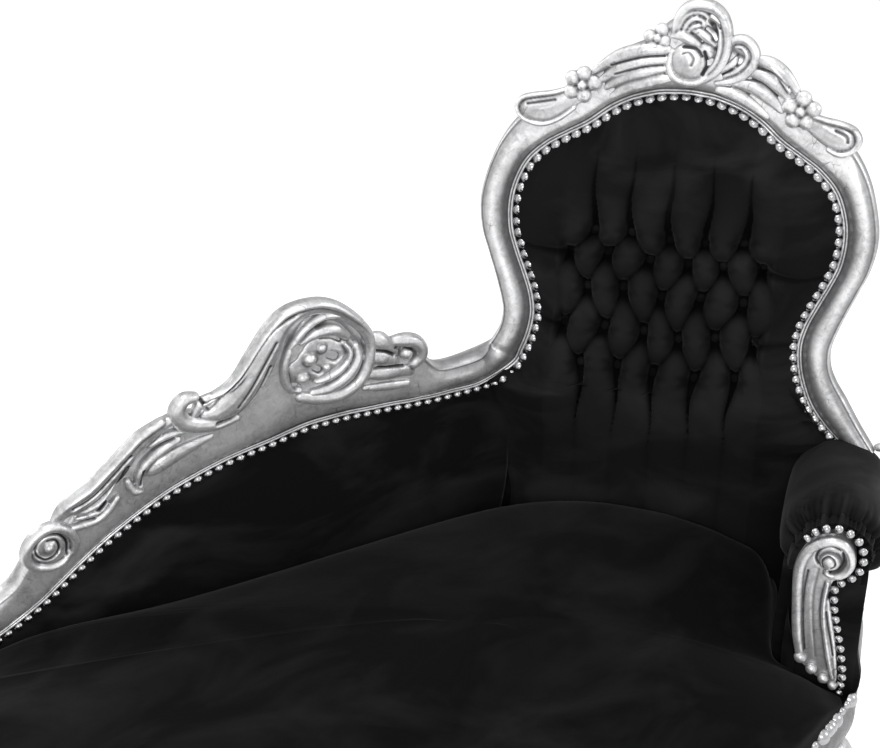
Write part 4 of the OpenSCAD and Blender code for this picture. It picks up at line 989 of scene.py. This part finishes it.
class CHAISE_OT_rail_carvings(bpy.types.Operator):
    """Carves the low rail's scrolls and leaves."""

    bl_idname = "chaise.rail_carvings"
    bl_label = "Rail carvings"

    def execute(self, context):
        low = faces()["low"]
        bed = context.scene.chaise_form.bed / MM
        dark = [([(-460, 397), (-454, 393)], 9, 14, 1), ([(-484, 384), (-478, 379)], 7, 12, 1),
                ([(-513, 424), (-506, 419)], 8, 12, 1), ([(-519, 347), (-509, 341)], 11, 14, 1),
                ([(-482, 449), (-460, 451), (-442, 444)], 4, 6, 0.8),
                ([(-474, 429), (-458, 425), (-446, 416)], 4, 6, 0.8)]
        carve("low_rocaille", low, ROCAILLE,
              [(-492, 401, 11, 13), (-503, 374, 10, 12), (-474, 413, 8, 11), (-468, 381, 7, 10),
               (-510, 357, 7, 10)], dark, bed, broad=1.0)
        carve("low_scroll_band", low, SCROLL_BAND, [],
              [([(-616, 386), (-590, 409), (-566, 440), (-541, 466), (-512, 477)], 3, 4, 0.5),
               ([(-630, 344), (-600, 349), (-572, 374), (-552, 410)], 4, 4, 0.6),
               ([(-640, 368), (-650, 386)], 4, 5, 0.8),
               ([(-600, 362), (-582, 384), (-562, 414), (-542, 444)], 3, 2, 0.4)],
              bed)
        carve("low_leaves", low, RAIL_LEAVES, [],
              [([(-800, 264), (-784, 280), (-768, 299), (-757, 314)], 7, 10, 1),
               ([(-836, 279), (-808, 289), (-780, 311), (-752, 334)], 3, 4, 0.5),
               ([(-742, 284), (-736, 304)], 3.5, 5, 0.7), ([(-712, 335), (-690, 339)], 3, 4, 0.6),
               ([(-836, 252), (-808, 252)], 2.6, 4, 0.6)], bed, broad=1.3)
        carve("low_volute", low, VOLUTE, [(-872, 226, 7.5, 12)],
              [([(-850, 208), (-848, 226), (-857, 241), (-873, 245), (-887, 237), (-890, 222),
                 (-880, 211), (-866, 212), (-859, 222), (-862, 234), (-873, 237)], 2.6, 4, 0.8)],
              bed)
        carve("low_scroll_end", low, SCROLL_END, [(-346, 368, 11, 12)],
              [([(-400, 389), (-382, 384), (-368, 374)], 3.5, 6, 0.9),
               ([(-400, 362), (-378, 357), (-352, 351)], 3.5, 6, 0.9),
               ([(-366, 384), (-352, 380), (-338, 372), (-336, 360)], 2.6, 4, 0.8)],
              bed)
        carved_copy("low_foot_scroll", 0.0016, 4, face=low)
        return {"FINISHED"}


# Arm

POST_LEFT = [
    (245, 50), (238, 63), (231, 96), (225.5, 145), (221.6, 184), (221, 204), (224, 222),
    (231, 241), (242, 254.5), (256.5, 262.6), (271.4, 264), (284.6, 257.7), (293.4, 246.7),
    (297.7, 231.6), (296, 215), (290, 202.6), (281.7, 195.5), (273, 188)]
POST_RIGHT = [(270, 166), (272, 146), (277, 127), (282, 108), (287, 88), (290, 67), (294, 50),
              (296, 32), (296, 16)]
POST_FOOT = [(290, 13), (272, 24), (256, 38), (247, 46)]
BASE_FRONT = [(238, 0.5), (296, 0.5), (296, 18), (274, 30), (252, 52), (241, 58)]
POST_RIBS = [
    [(243, 64, 6, 6), (236, 100, 6.6, 8), (231, 150, 6.8, 9), (228.5, 190, 7, 9),
     (231, 218, 7, 10), (240, 239, 7, 11), (254, 251.5, 7, 12), (269, 256, 7, 12),
     (283, 250, 7, 12), (291, 236, 6.5, 12), (292, 220, 6.5, 11), (285, 206, 6, 10),
     (274, 200, 5, 9), (264, 203, 4, 8)],
    [(267, 186, 3, 5), (265.5, 165, 3, 6), (266, 143, 3.2, 7), (269, 120, 3.4, 7),
     (273.5, 98, 3.4, 7), (279, 73, 3.4, 7), (284, 52, 3, 6), (290, 30, 2.5, 4)],
    [(270, 158, 2, 2), (275, 128, 4, 4), (281, 100, 4.4, 4), (286, 74, 4.4, 4),
     (291, 48, 3, 3)],
]
POST_LINES = [
    ([(240, 200), (238.5, 164), (242, 118), (249, 70)], 2.6, 3, 0.5),
    ([(253, 205), (250, 165), (255, 115), (264, 62)], 3, 0.8, 0.12),
    ([(252, 214), (248, 224), (253, 238), (264, 243.5), (276, 240)], 2.4, 4, 0.9),
    ([(270, 140), (275, 116), (281, 92), (286, 70)], 1.8, 2, 0.8),
    ([(259, 214), (256, 224), (262, 232), (270, 230), (273, 222), (268, 217)], 1.8, 3, 0.7),
    ([(281, 236), (283, 222), (277, 209), (268, 206)], 2.4, 4, 0.9)]
ARM_BEADS = [(244.8, 59, 7.6), (261, 42, 7.0), (278, 28.5, 6.5), (291.5, 19, 5.8)]
ARM_NAILS = [
    (301, 6), (302, 20), (302.6, 34), (301, 49), (298, 66), (295, 82), (291, 98), (287, 114),
    (283.5, 129), (280, 145), (278, 161), (277, 177), (284, 189), (296, 199), (304, 212),
    (307, 228), (305, 244), (298, 258), (286, 268), (271.5, 273), (256, 270.5), (243, 262.5),
    (234, 251)]
PANEL_FRONT = [
    (268, 184), (269, 166), (271, 146), (276, 127), (281, 108), (286, 88), (289, 67), (293, 50),
    (295, 30), (296, 0.5), (322, 0.5), (326, 20), (326.5, 37), (319, 70), (313, 106),
    (310, 150), (307, 200), (296, 202), (283, 194)]
PANEL_CORNER = [
    (180, -60), (214, -60), (238, -100), (262, -128), (300, -152), (303, -170), (303, -388),
    (180, -388)]
PANEL_CORNER_OUT = (-23.5, -17.5)
VOLUTE_EYE = (266.5, 222.5, 14, 13)
POST_DEPTH = 15.7
BOARD_DEPTH = 17

# The roll's middle, the height above which its end is drawn in, and how long that end is
ROLL_MIDDLE = (268, 226)
ROLL_FOOT = 178
NOSE = 36
FOLD_LIFT = 5.2
# How far the arm's covers are carried back, and over what length they follow
DRAWN_BACK, DRAWN_LENGTH = 26, 50


def board(face, outline, rear, front):
    """A flat board with softened edges between two distances out of a face."""
    bm = bmesh.new()
    verts = bmesh.ops.create_circle(bm, segments=len(outline), radius=1)["verts"]
    for vert, (u, v) in zip(verts, outline):
        vert.co = face.at(u, v, rear)
    bmesh.ops.edgeloop_fill(bm, edges=list(bm.edges))
    made = bmesh.ops.extrude_face_region(bm, geom=list(bm.faces))["geom"]
    top = [g for g in made if isinstance(g, bmesh.types.BMVert)]
    bmesh.ops.translate(bm, verts=top, vec=face.out * ((front - rear) * MM))
    bmesh.ops.edgeloop_fill(bm, edges=[e for e in bm.edges if e.is_boundary])
    bmesh.ops.recalc_face_normals(bm, faces=bm.faces)
    sharp = [e for e in bm.edges if e.calc_face_angle(0) > math.radians(60)]
    bmesh.ops.bevel(bm, geom=sharp, affect="EDGES", offset=EASED, segments=2, profile=0.5,
                    material=-1)
    return bm


class CHAISE_OT_arm_facing(bpy.types.Operator):
    """Carves the facing of the arm, its beads and the bracket behind it."""

    bl_idname = "chaise.arm_facing"
    bl_label = "Arm facing"

    def execute(self, context):
        arm = faces()["arm"]
        reach = context.scene.chaise_form.arm_reach / MM
        outline = (curve_rows(POST_LEFT, 3).tolist() + curve_rows(POST_RIGHT, 2).tolist()
                   + POST_FOOT)
        bm = board(arm, outline, reach - POST_DEPTH, reach)
        for rows in POST_RIBS:
            rib(bm, arm, rows, reach)
        knob(bm, arm, *VOLUTE_EYE, reach)
        bmesh.ops.recalc_face_normals(bm, faces=bm.faces)
        post = new_piece("arm_post", bm)
        remesh(post, 0.0013)
        mesh = post.data
        shade = press_lines(mesh, arm, reach, POST_LINES)
        soften(mesh, 2)
        mark_relief(mesh, extra=shade, face=arm)
        finish_piece(post, "arm_post", "silver_leaf")

        carved_copy("arm_bracket", VOXEL, 3)

        bm = bmesh.new()
        for u, v, r in ARM_BEADS:
            knob(bm, arm, u, v, r * 1.15, r * 1.2, reach + 2, sink=3)
        beads = new_piece("arm_beads", bm)
        # Wear and a painted highlight all over the beads
        store(beads.data, "worn", 0.7)
        finish_piece(beads, "arm_beads", "silver_leaf")
        return {"FINISHED"}


# Rails and legs


class CHAISE_OT_rails_and_legs(bpy.types.Operator):
    """Rounds the seat rails and the legs."""

    bl_idname = "chaise.rails_and_legs"
    bl_label = "Rails and legs"

    def execute(self, context):
        for node in sorted(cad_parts):
            if not node.startswith(("seat_rail_", "leg_")) or node == "leg_glides":
                continue
            piece = bevelled_copy(node, EASED, 50, 1 if node.startswith("seat_rail") else 2)
            if node.startswith("leg"):
                mark_relief(piece.data, reach=3, full=0.001, light=0)
            else:
                # Painted shade: the seat rails are darkened all over
                store(piece.data, "hollow", 0.66)
            finish_piece(piece, node, "silver_leaf")
        return {"FINISHED"}


# Nails

# Heads where the low rail meets the back: across, up and out
JOINT_NAILS = [(-197, 269.5, 7.5), (-190, 278, 17.5)]
# How much larger than the CAD's the heads are
NAIL_GROWTH = {"back_nails": 1.26, "low_nails": 1.26, "seat_nails": 1.12}
ARM_NAIL_RADIUS = 0.0063


def nail_places(node):
    """Middle and outward direction of each nail head of a node."""
    bm = bmesh.new()
    bm.from_mesh(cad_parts[node].data)
    bmesh.ops.remove_doubles(bm, verts=bm.verts, dist=1e-6)
    seen, places = set(), []
    for seed in bm.verts:
        if seed in seen:
            continue
        seen.add(seed)
        island = [seed]
        for vert in island:
            fresh = [e.other_vert(vert) for e in vert.link_edges]
            fresh = [v for v in fresh if v not in seen]
            island += fresh
            seen.update(fresh)
        sums = {}
        for f in dict.fromkeys(f for v in island for f in v.link_faces):
            key = tuple(round(c, 2) for c in f.normal)
            sums[key] = sums.get(key, 0.0) + f.calc_area()
        base = Vector(max(sums, key=sums.get)).normalized()
        rim = [v.co for v in island if all(
            (v.co - w.co).dot(base) >= -1e-5 for w in island)]
        middle = sum(rim, Vector()) / len(rim)
        radius = max((v.co - middle).length for v in island)
        places.append((middle, -base, radius))
    bm.free()
    return sorted(places, key=lambda p: tuple(p[0]))


class CHAISE_OT_nails(bpy.types.Operator):
    """Sets the domed nails."""

    bl_idname = "chaise.nails"
    bl_label = "Nails"

    def execute(self, context):
        plane = faces()
        arm, low = plane["arm"], plane["low"]
        reach = context.scene.chaise_form.arm_reach / MM
        places = {node: [(at, out, r * size) for at, out, r in nail_places(node)]
                  for node, size in NAIL_GROWTH.items()}
        row = places["low_nails"]
        places["low_nails"] = row[:-1] + [(low.at(*at), low.out, row[-1][2])
                                          for at in JOINT_NAILS]
        places["arm_nails"] = [(arm.at(u, v, reach), arm.out, ARM_NAIL_RADIUS)
                               for u, v in ARM_NAILS]
        for node in sorted(places):
            bm = bmesh.new()
            for middle, out, radius in places[node]:
                turn = Vector((0, 0, 1)).rotation_difference(out).to_matrix().to_4x4()
                made = bmesh.ops.create_uvsphere(bm, u_segments=16, v_segments=12, radius=radius)
                verts = made["verts"]
                under = [v for v in verts if v.co.z < -radius * 0.2]
                for v in verts:
                    v.co.z = max(v.co.z, 0) * 0.98
                bmesh.ops.delete(bm, geom=under, context="VERTS")
                kept = [v for v in verts if v.is_valid]
                bmesh.ops.transform(bm, matrix=Matrix.Translation(middle) @ turn, verts=kept)
            finish_piece(new_piece(node, bm), node, "nail_heads")
        return {"FINISHED"}


# Upholstery

# Share of the moulding's width that the velvet covers
FIELD_SHARE = 0.07
# Middle of the buttons, height and number of each row, numbers at heights, foot of the pad
TUFT_MID = -4.0
TUFT_ROWS = [(121, 0), (90, 1), (41, 2), (-16, 3), (-72, 4)]
TUFT_SCALE = [(-392, 9.7), (-72, 4), (-16, 3), (41, 2), (90, 1), (121, 0), (400, -5.6)]
# Edges of the pad below its waist: height and across, on the left and on the right
PAD_FOOT, PAD_WAIST = -389.6, -100
PAD_LEFT = [(PAD_FOOT, -196), (-284, -200), (-150, -236), (-122, -248)]
PAD_RIGHT = [(PAD_FOOT, 213), (-180, 214), (-165, 224), (-148, 250), (-124, 227)]
# In pitches from the middle: the outer buttons, and where the tufts end
OUTER_BUTTON, TUFTS_END = 2.5, 2.85
RISE_WIDTH = 92       # from the nails to the full height of the padding
DIMPLE_WIDTH = 12.0   # round each button


def pad_sides(h):
    """Left and right edges of the buttoned field at heights h."""
    edge = field_edge()[::-1]
    upper = np.interp(h, edge[:, 1], edge[:, 0])
    waist = np.interp(PAD_WAIST + 1, edge[:, 1], edge[:, 0])
    left = np.interp(h, *zip(*PAD_LEFT, (PAD_WAIST, -12 - waist)))
    right = np.interp(h, *zip(*PAD_RIGHT, (PAD_WAIST, waist)))
    return np.where(h > PAD_WAIST, -upper, left), np.where(h > PAD_WAIST, upper, right)


def button_places():
    """Across and up of each button."""
    pitch = bpy.context.scene.chaise_tufts.pitch / MM
    out = []
    for h, q in TUFT_ROWS:
        n = 6 if q % 2 else 5
        out += [(TUFT_MID + (i - (n - 1) / 2) * pitch, h) for i in range(n)]
    return out


def sway(s, h):
    """How far hand work has drawn the tufts off their even rows."""
    fade = smooth_step(1.6 - np.abs(h - 25) / 160)
    return (fade * (3.4 * np.sin(h / 19 + s / 47) + 1.6 * np.sin(s / 23 - h / 61)),
            fade * (3.2 * np.sin(s / 27 + 1.1) + 1.8 * np.sin(s / 15 + h / 33)))


def back_height(s, h):
    """Height of the buttoned face above the nail line in millimetres, how deep it folds as painted
    shade, and a painted highlight on its crowns.
    """
    tufts = bpy.context.scene.chaise_tufts
    pitch, crown, deep = tufts.pitch / MM, tufts.crown / MM, tufts.depth / MM
    left, right = pad_sides(h)
    s, h, given_s, given_h = s + sway(s, h)[0], h + sway(s, h)[1], s, h
    p = (s - TUFT_MID) / pitch
    q = np.interp(h, [r[0] for r in TUFT_SCALE], [r[1] for r in TUFT_SCALE])
    near = np.full(s.shape, np.inf)
    for a, b in field_edge()[::2]:
        near = np.minimum(near, np.hypot(np.abs(given_s) - a, given_h - b))
    edge = np.where(given_h > -118, near, np.minimum(given_s - left, right - given_s))
    swell = 1 - (1 - np.clip(edge / RISE_WIDTH, 0, 1)) ** 2.2
    foot = 0.24 + 0.76 * smooth_step((h + 250) / 140)
    above = np.clip((TUFT_ROWS[0][0] - h) / -150, 0, 1)
    below = np.clip((TUFT_ROWS[-1][0] - h) / 310, 0, 1)
    in_width = smooth_step((TUFTS_END - np.abs(p)) * 4)

    # Pillows between the buttons, which run on as columns above the first row and below the last
    near_rows = np.where(q < 2, (1 - above) ** 1.6, (1 - below) ** 7)
    held = np.clip(q, 0, 4)
    side = [(x % 1 - 0.5) * 2 for x in (p + held / 2, p - held / 2)]
    narrow = 1.22 + 0.84 * (1 - near_rows)
    pillow = np.sqrt(np.clip(1 - (side[0] ** 2 + side[1] ** 2) / narrow, 0, 1))
    pillow = pillow ** (0.3 + 0.7 * near_rows)
    strength = np.where(q < 2, (1 - above) ** 1.3, 0.5 + 0.5 * (1 - below) ** 4)
    dimple = np.zeros(s.shape)
    wrinkle = np.zeros(s.shape)
    for k, (u, v) in enumerate(button_places()):
        r2 = (s - u) ** 2 + (h - v) ** 2
        dimple = np.maximum(dimple, np.exp(-r2 / DIMPLE_WIDTH**2))
        turn = np.arctan2(h - v, s - u)
        wrinkle += np.sin(7 * turn + 2.1 * k) * np.exp(-((np.sqrt(r2) - 15) / 7) ** 2)
    valley = (1 - pillow) * in_width * strength

    # Folds from the outer buttons to the frame
    aside = np.zeros(s.shape)
    beyond = (np.abs(p) - OUTER_BUTTON) * pitch
    for v, slope in ((TUFT_ROWS[1][0], 0.0), (TUFT_ROWS[3][0], 0.12)):
        line = v + slope * beyond
        out = np.clip(beyond / 55, 0, 1)
        aside = np.maximum(aside, np.exp(-((h - line) / (7 - 3 * out)) ** 2)
                           * (np.abs(p) > OUTER_BUTTON - 0.05) * (1 - 0.35 * out))
    height = swell * foot * crown - swell * 13 * aside
    height -= swell * deep * (0.72 * valley * (0.4 + 0.6 * foot) + 0.34 * dimple)
    height += swell * 1.3 * wrinkle * in_width
    # Painted shade in the valleys, round the buttons and along the folds; a painted highlight on
    # the pillows' crowns
    shade = np.maximum(smooth_step((valley - 0.25) / 0.6), np.maximum(0.8 * aside, dimple))
    crown_light = np.where(np.abs(p) < TUFTS_END, pillow**1.2 * strength, 0.3) * (1 - dimple)
    return np.maximum(height, 0.6 * (edge > 0.5)), shade, crown_light * (edge > 6)


class CHAISE_OT_buttoned_back(bpy.types.Operator):
    """Makes the deep buttoned back and its buttons."""

    bl_idname = "chaise.buttoned_back"
    bl_label = "Buttoned back"

    def execute(self, context):
        back = faces()["back"]
        bm = bmesh.new()
        hollow, worn = [bm.verts.layers.float.new(n) for n in MASKS]
        bmesh.ops.create_grid(bm, x_segments=230, y_segments=300, size=0.5)
        verts = list(bm.verts)
        grid = np.array([v.co[:] for v in verts])
        top = field_edge()[1][1]
        h = PAD_FOOT + (grid[:, 1] + 0.5) * (top - PAD_FOOT)
        left, right = pad_sides(h)
        s = left + (grid[:, 0] + 0.5) * (right - left)
        f, shade, crowns = back_height(s, h)
        # Each point keeps its painted shade and painted highlight
        for vert, u, v, w, dark, bright in zip(verts, s, h, f, shade, crowns):
            vert.co = back.at(u, v, w)
            vert[hollow] = dark
            vert[worn] = bright
        rim = [e for e in bm.edges if e.is_boundary]
        made = bmesh.ops.extrude_edge_only(bm, edges=rim)["geom"]
        for g in made:
            if isinstance(g, bmesh.types.BMVert):
                g.co -= back.out * (4 * MM)
        bmesh.ops.edgeloop_fill(bm, edges=[e for e in bm.edges if e.is_boundary])
        bmesh.ops.recalc_face_normals(bm, faces=bm.faces)
        pad = new_piece("back_cover", bm)
        finish_piece(pad, "back_cover", "velvet")

        bm = bmesh.new()
        r = context.scene.chaise_tufts.button / MM
        for u, v in button_places():
            at_u, at_v = u, v
            for _ in range(6):
                du, dv = sway(at_u, at_v)
                at_u, at_v = u - du, v - dv
            high = float(back_height(np.array([at_u]), np.array([at_v]))[0][0])
            knob(bm, back, at_u, at_v, r, r * 0.6, high + 0.6, sink=2.5)
        buttons = new_piece("back_buttons", bm)
        finish_piece(buttons, "back_buttons", "velvet")
        return {"FINISHED"}


# How sharp the seams stay, and the turn at which an edge is a seam
CREASE, SEAT_CREASE = 0.85, 0.97
SEAM_TURN = math.radians(55)


def soft_copy(node, levels):
    """A rounded copy of a pad that keeps its seams."""
    piece = cad_copy(node)
    bm = bmesh.new()
    bm.from_mesh(piece.data)
    bmesh.ops.recalc_face_normals(bm, faces=bm.faces)
    crease = bm.edges.layers.float.new("crease_edge")
    for e in bm.edges:
        if e.calc_face_angle(0) > SEAM_TURN:
            e[crease] = SEAT_CREASE if node == "seat_cover" else CREASE
    bm.to_mesh(piece.data)
    bm.free()
    round_off(piece, levels)
    apply_modifiers(piece)
    return piece


CLOTH_FRAMES = 20


def puff(piece, cap, pressure, free):
    """Swells a pad with a short cloth simulation, with the travel of each point capped."""
    mesh = piece.data
    rest = coordinates(mesh)
    held = piece.vertex_groups.new(name="seams")
    for i in np.nonzero(free <= 0)[0]:
        held.add([int(i)], 1.0, "ADD")
    cloth = piece.modifiers.new("Cloth", "CLOTH")
    for key, value in (("quality", 4), ("vertex_group_mass", "seams"), ("use_pressure", True),
                       ("uniform_pressure_force", pressure), ("tension_stiffness", 12),
                       ("shear_stiffness", 6), ("bending_stiffness", 0.6)):
        setattr(cloth.settings, key, value)
    cloth.settings.effector_weights.gravity = 0
    cloth.point_cache.frame_start = 1
    cloth.point_cache.frame_end = CLOTH_FRAMES
    for number in range(1, CLOTH_FRAMES + 1):
        bpy.context.scene.frame_set(number)
    graph = bpy.context.evaluated_depsgraph_get()
    moved = coordinates(piece.evaluated_get(graph).data) - rest
    piece.modifiers.clear()
    piece.vertex_groups.clear()
    bpy.context.scene.frame_set(1)
    far = np.linalg.norm(moved, axis=1)
    moved *= (free * cap / np.maximum(far, cap))[:, None]
    set_coordinates(mesh, rest + moved)


def gather_roll(piece, arm, reach):
    """Folds of the velvet gathered above the facing, with painted shade between them and a painted
    highlight on their crests.
    """
    mesh = piece.data
    co = coordinates(mesh)
    u, v, f = arm.flat(co)
    above = v > ROLL_FOOT
    u, v = u - ROLL_MIDDLE[0], v - ROLL_MIDDLE[1]
    turn = np.arctan2(v, u)
    nose = smooth_step((f - (reach - NOSE)) / NOSE) * above
    co += np.outer(u * -0.09 * nose * MM, np.array(arm.across))
    co += np.outer(v * -0.09 * nose * MM, np.array(arm.up))
    near = smooth_step((f - (reach - 84)) / 62) * smooth_step((turn + 0.2) * 3)
    near *= smooth_step((math.pi + 0.1 - turn) * 3)
    near *= smooth_step((np.hypot(u, v) - 46) / 6)
    warp = turn * 21 + 1.6 * np.sin(turn * 5.3) + 0.02 * (reach - f)
    wave = np.abs(np.sin(warp)) ** 0.8 * (0.7 + 0.3 * np.sin(turn * 13.7 + 0.5))
    lift = near * (wave - 0.8) * FOLD_LIFT
    set_coordinates(mesh, co + point_normals(mesh) * (lift * MM)[:, None])
    # Painted shade between the folds, painted highlight on their crests
    store(mesh, "hollow", near * (1 - wave) ** 1.1)
    store(mesh, "worn", near * wave**2)


def join_board(piece, bm):
    """Adds a board to a piece."""
    bm.from_mesh(piece.data)
    bm.to_mesh(piece.data)
    bm.free()


# The deck under the seat's edge: how far it reaches past the hessian, its foot and its top
DECK_REACH, DECK_FOOT, DECK_TOP = 0.0055, 0.0002, 0.0016


def seat_deck(rail_top):
    """The velvet drawn over the rails' tops under the seat's edge."""
    deck = cad_copy("hessian")
    mesh = deck.data
    co, normals = coordinates(mesh), point_normals(mesh)
    side = normals[:, :2] / np.maximum(np.linalg.norm(normals[:, :2], axis=1), 1e-6)[:, None]
    co[:, :2] += side * DECK_REACH
    low = co[:, 2] < co[:, 2].mean()
    co[:, 2] = np.where(low, rail_top + DECK_FOOT, rail_top + DECK_TOP)
    set_coordinates(mesh, co)
    bm = bmesh.new()
    bm.from_mesh(mesh)
    bpy.data.objects.remove(deck)
    return bm


def draw_back(piece, arm):
    """Carries a cover of the arm on to the back's cover behind it."""
    mesh = piece.data
    co = coordinates(mesh)
    f = arm.flat(co)[2]
    rear = smooth_step((f.min() + DRAWN_LENGTH - f) / DRAWN_LENGTH)
    set_coordinates(mesh, co - np.outer(rear * DRAWN_BACK * MM, np.array(arm.out)))


class CHAISE_OT_pads(bpy.types.Operator):
    """Stuffs the seat, the low back and the arm."""

    bl_idname = "chaise.pads"
    bl_label = "Pads"

    def execute(self, context):
        rail_top = context.scene.chaise_form.rail_top
        plane = faces()
        arm = plane["arm"]
        reach = context.scene.chaise_form.arm_reach / MM
        seat = soft_copy("seat_cover", 2)
        z = coordinates(seat.data)[:, 2]
        free = smooth_step((z - rail_top - 0.03) / 0.03)
        puff(seat, cap=0.006, pressure=3.0, free=free)
        co = coordinates(seat.data)
        even = neighbour_mean(seat.data, co, 60)
        set_coordinates(seat.data, co + (even - co) * free[:, None])
        join_board(seat, seat_deck(rail_top))
        # Painted shade: the seat's velvet is darkened all over
        store(seat.data, "hollow", 0.55)
        finish_piece(seat, "seat_cover", "velvet")

        roll = soft_copy("arm_roll", 3)
        gather_roll(roll, arm, reach)
        draw_back(roll, arm)
        finish_piece(roll, "arm_roll", "velvet")

        for node, levels, fill in (("low_cover", 2, 0.8), ("arm_inside_cover", 2, 0.8),
                                   ("arm_base_cover", 1, 0.8)):
            pad = soft_copy(node, levels)
            if node == "arm_inside_cover":
                draw_back(pad, arm)
            if node == "arm_base_cover":
                join_board(pad, board(arm, BASE_FRONT, reach - BOARD_DEPTH, reach - 2))
            finish_piece(pad, node, "velvet")

        for node in ("back_outside_panel", "low_outside_panel", "arm_outside_panel"):
            panel = bevelled_copy(node, EASED, 50)
            if node.startswith("arm"):
                join_board(panel, board(arm, PANEL_FRONT, reach - BOARD_DEPTH, reach - 0.5))
            if node.startswith("back"):
                join_board(panel, board(plane["back"], PANEL_CORNER, *PANEL_CORNER_OUT))
            finish_piece(panel, node, "velvet")
        return {"FINISHED"}


# How far each foam is drawn in from its solid, and its share of the plan
FOAMS = [("seat_foam", 0.012, 0.97), ("back_foam", 0.006, 1), ("low_foam", 0.006, 1)]
INNER_SLOTS = {
    "beech": ("back_stile_left", "back_stile_right", "back_bottom_rail", "low_struts",
              "arm_top_rail", "cross_braces", "corner_blocks"),
    "steel": ("leg_glides", "block_screws"),
    "webbing": ("webbing_long", "webbing_cross", "back_webbing", "low_webbing"),
    "hessian": ("hessian",),
    "dust_cloth": ("dust_cover",),
}


class CHAISE_OT_inner_work(bpy.types.Operator):
    """Finishes the inner work: foam, webbing, hessian, wood, screws and glides."""

    bl_idname = "chaise.inner_work"
    bl_label = "Inner work"

    def execute(self, context):
        for node, drawn_in, plan in FOAMS:
            pad = bevelled_copy(node, 0.002, 40)
            co = coordinates(pad.data) - point_normals(pad.data) * drawn_in
            co[:, :2] *= plan
            set_coordinates(pad.data, co)
            finish_piece(pad, node, "foam")
        for slot, nodes in INNER_SLOTS.items():
            for node in nodes:
                dress_node(node, slot)
        return {"FINISHED"}


# Stage

# Name, place, aim, width and power of each lamp
LAMPS = [("key", (-1.6, -3.0, 2.8), (0.2, 0.0, 0.4), 1.6, 42),
         ("fill", (3.2, -1.6, 2.2), (0.3, 0.0, 0.5), 1.4, 22),
         ("top", (0.0, 0.4, 3.6), (0.0, 0.0, 0.4), 1.8, 34),
         ("rear", (-1.4, 2.8, 2.0), (0.0, 0.2, 0.5), 1.4, 24)]
CAMERA_AT = (-0.7051, -1.5946, 1.9754)
CAMERA_TURN = (math.radians(58.4), 0, math.radians(-28.8))


class CHAISE_OT_stage(bpy.types.Operator):
    """Lays the floor and sets the lamps, the world and the camera."""

    bl_idname = "chaise.stage"
    bl_label = "Stage"

    def execute(self, context):
        scene = context.scene
        bm = bmesh.new()
        bmesh.ops.create_grid(bm, x_segments=1, y_segments=1, size=14)
        floor = new_piece("floor", bm, smooth=False)
        floor.data.materials.append(material("pale_floor"))

        world = bpy.data.worlds.new("studio")
        scene.world = world
        world.use_nodes = True
        tree = world.node_tree
        sky = add(tree, "TexCoord").outputs["Generated"]
        split = add(tree, "SeparateXYZ", {"Vector": sky})
        shown = remap(tree, split.outputs["Z"], -0.1, 0.9, 0.85, 0.28)
        path = add(tree, "LightPath").outputs
        for ray in ("Is Camera Ray", "Is Glossy Ray", "Is Transmission Ray"):
            shown = maths(tree, "MAXIMUM", shown, path[ray])
        plug(tree, tree.nodes["Background"], {"Color": shown, "Strength": 1.0})

        for label, at, aim, size, power in LAMPS:
            lamp = bpy.data.lights.new(label, "AREA")
            lamp.shape = "SQUARE"
            lamp.size = size
            lamp.energy = power
            holder = bpy.data.objects.new(label, lamp)
            scene.collection.objects.link(holder)
            holder.location = at
            holder.rotation_euler = (Vector(aim) - Vector(at)).to_track_quat("-Z", "Y").to_euler()

        lens = bpy.data.cameras.new("camera")
        lens.lens = 73.64
        lens.sensor_width = 36
        camera = bpy.data.objects.new("camera", lens)
        camera.location = CAMERA_AT
        camera.rotation_euler = CAMERA_TURN
        scene.collection.objects.link(camera)
        scene.camera = camera
        scene.view_settings.view_transform = "Standard"
        return {"FINISHED"}


class CHAISE_PT_panel(bpy.types.Panel):
    """Sizes, finishes and steps of the chaise."""

    bl_idname = "CHAISE_PT_panel"
    bl_label = "Chaise longue"
    bl_space_type = "VIEW_3D"
    bl_region_type = "UI"
    bl_category = "Chaise"

    def draw(self, context):
        for group in GROUPS:
            settings = getattr(context.scene, group)
            box = self.layout.box()
            for name in settings.bl_rna.properties.keys():
                if name not in ("rna_type", "name"):
                    box.prop(settings, name)
        for step in STEPS:
            self.layout.operator(step.bl_idname)


STEPS = (CHAISE_OT_mouldings, CHAISE_OT_crest, CHAISE_OT_rail_carvings, CHAISE_OT_arm_facing,
         CHAISE_OT_rails_and_legs, CHAISE_OT_nails, CHAISE_OT_buttoned_back, CHAISE_OT_pads,
         CHAISE_OT_inner_work, CHAISE_OT_stage)
GROUPS = {"chaise_form": ChaiseForm, "chaise_tufts": ChaiseTufts, "chaise_finish": ChaiseFinish}
CLASSES = (*GROUPS.values(), *STEPS, CHAISE_PT_panel)


def register():
    """Registers the classes and their settings."""
    for made in CLASSES:
        bpy.utils.register_class(made)
    for name, group in GROUPS.items():
        setattr(bpy.types.Scene, name, bpy.props.PointerProperty(type=group))


def unregister():
    """Takes them away again."""
    for name in GROUPS:
        delattr(bpy.types.Scene, name)
    for made in reversed(CLASSES):
        bpy.utils.unregister_class(made)


def main():
    """Builds the chaise."""
    register()
    for step in STEPS:
        group, name = step.bl_idname.split(".")
        getattr(getattr(bpy.ops, group), name)()


if __name__ == "__main__":
    main()
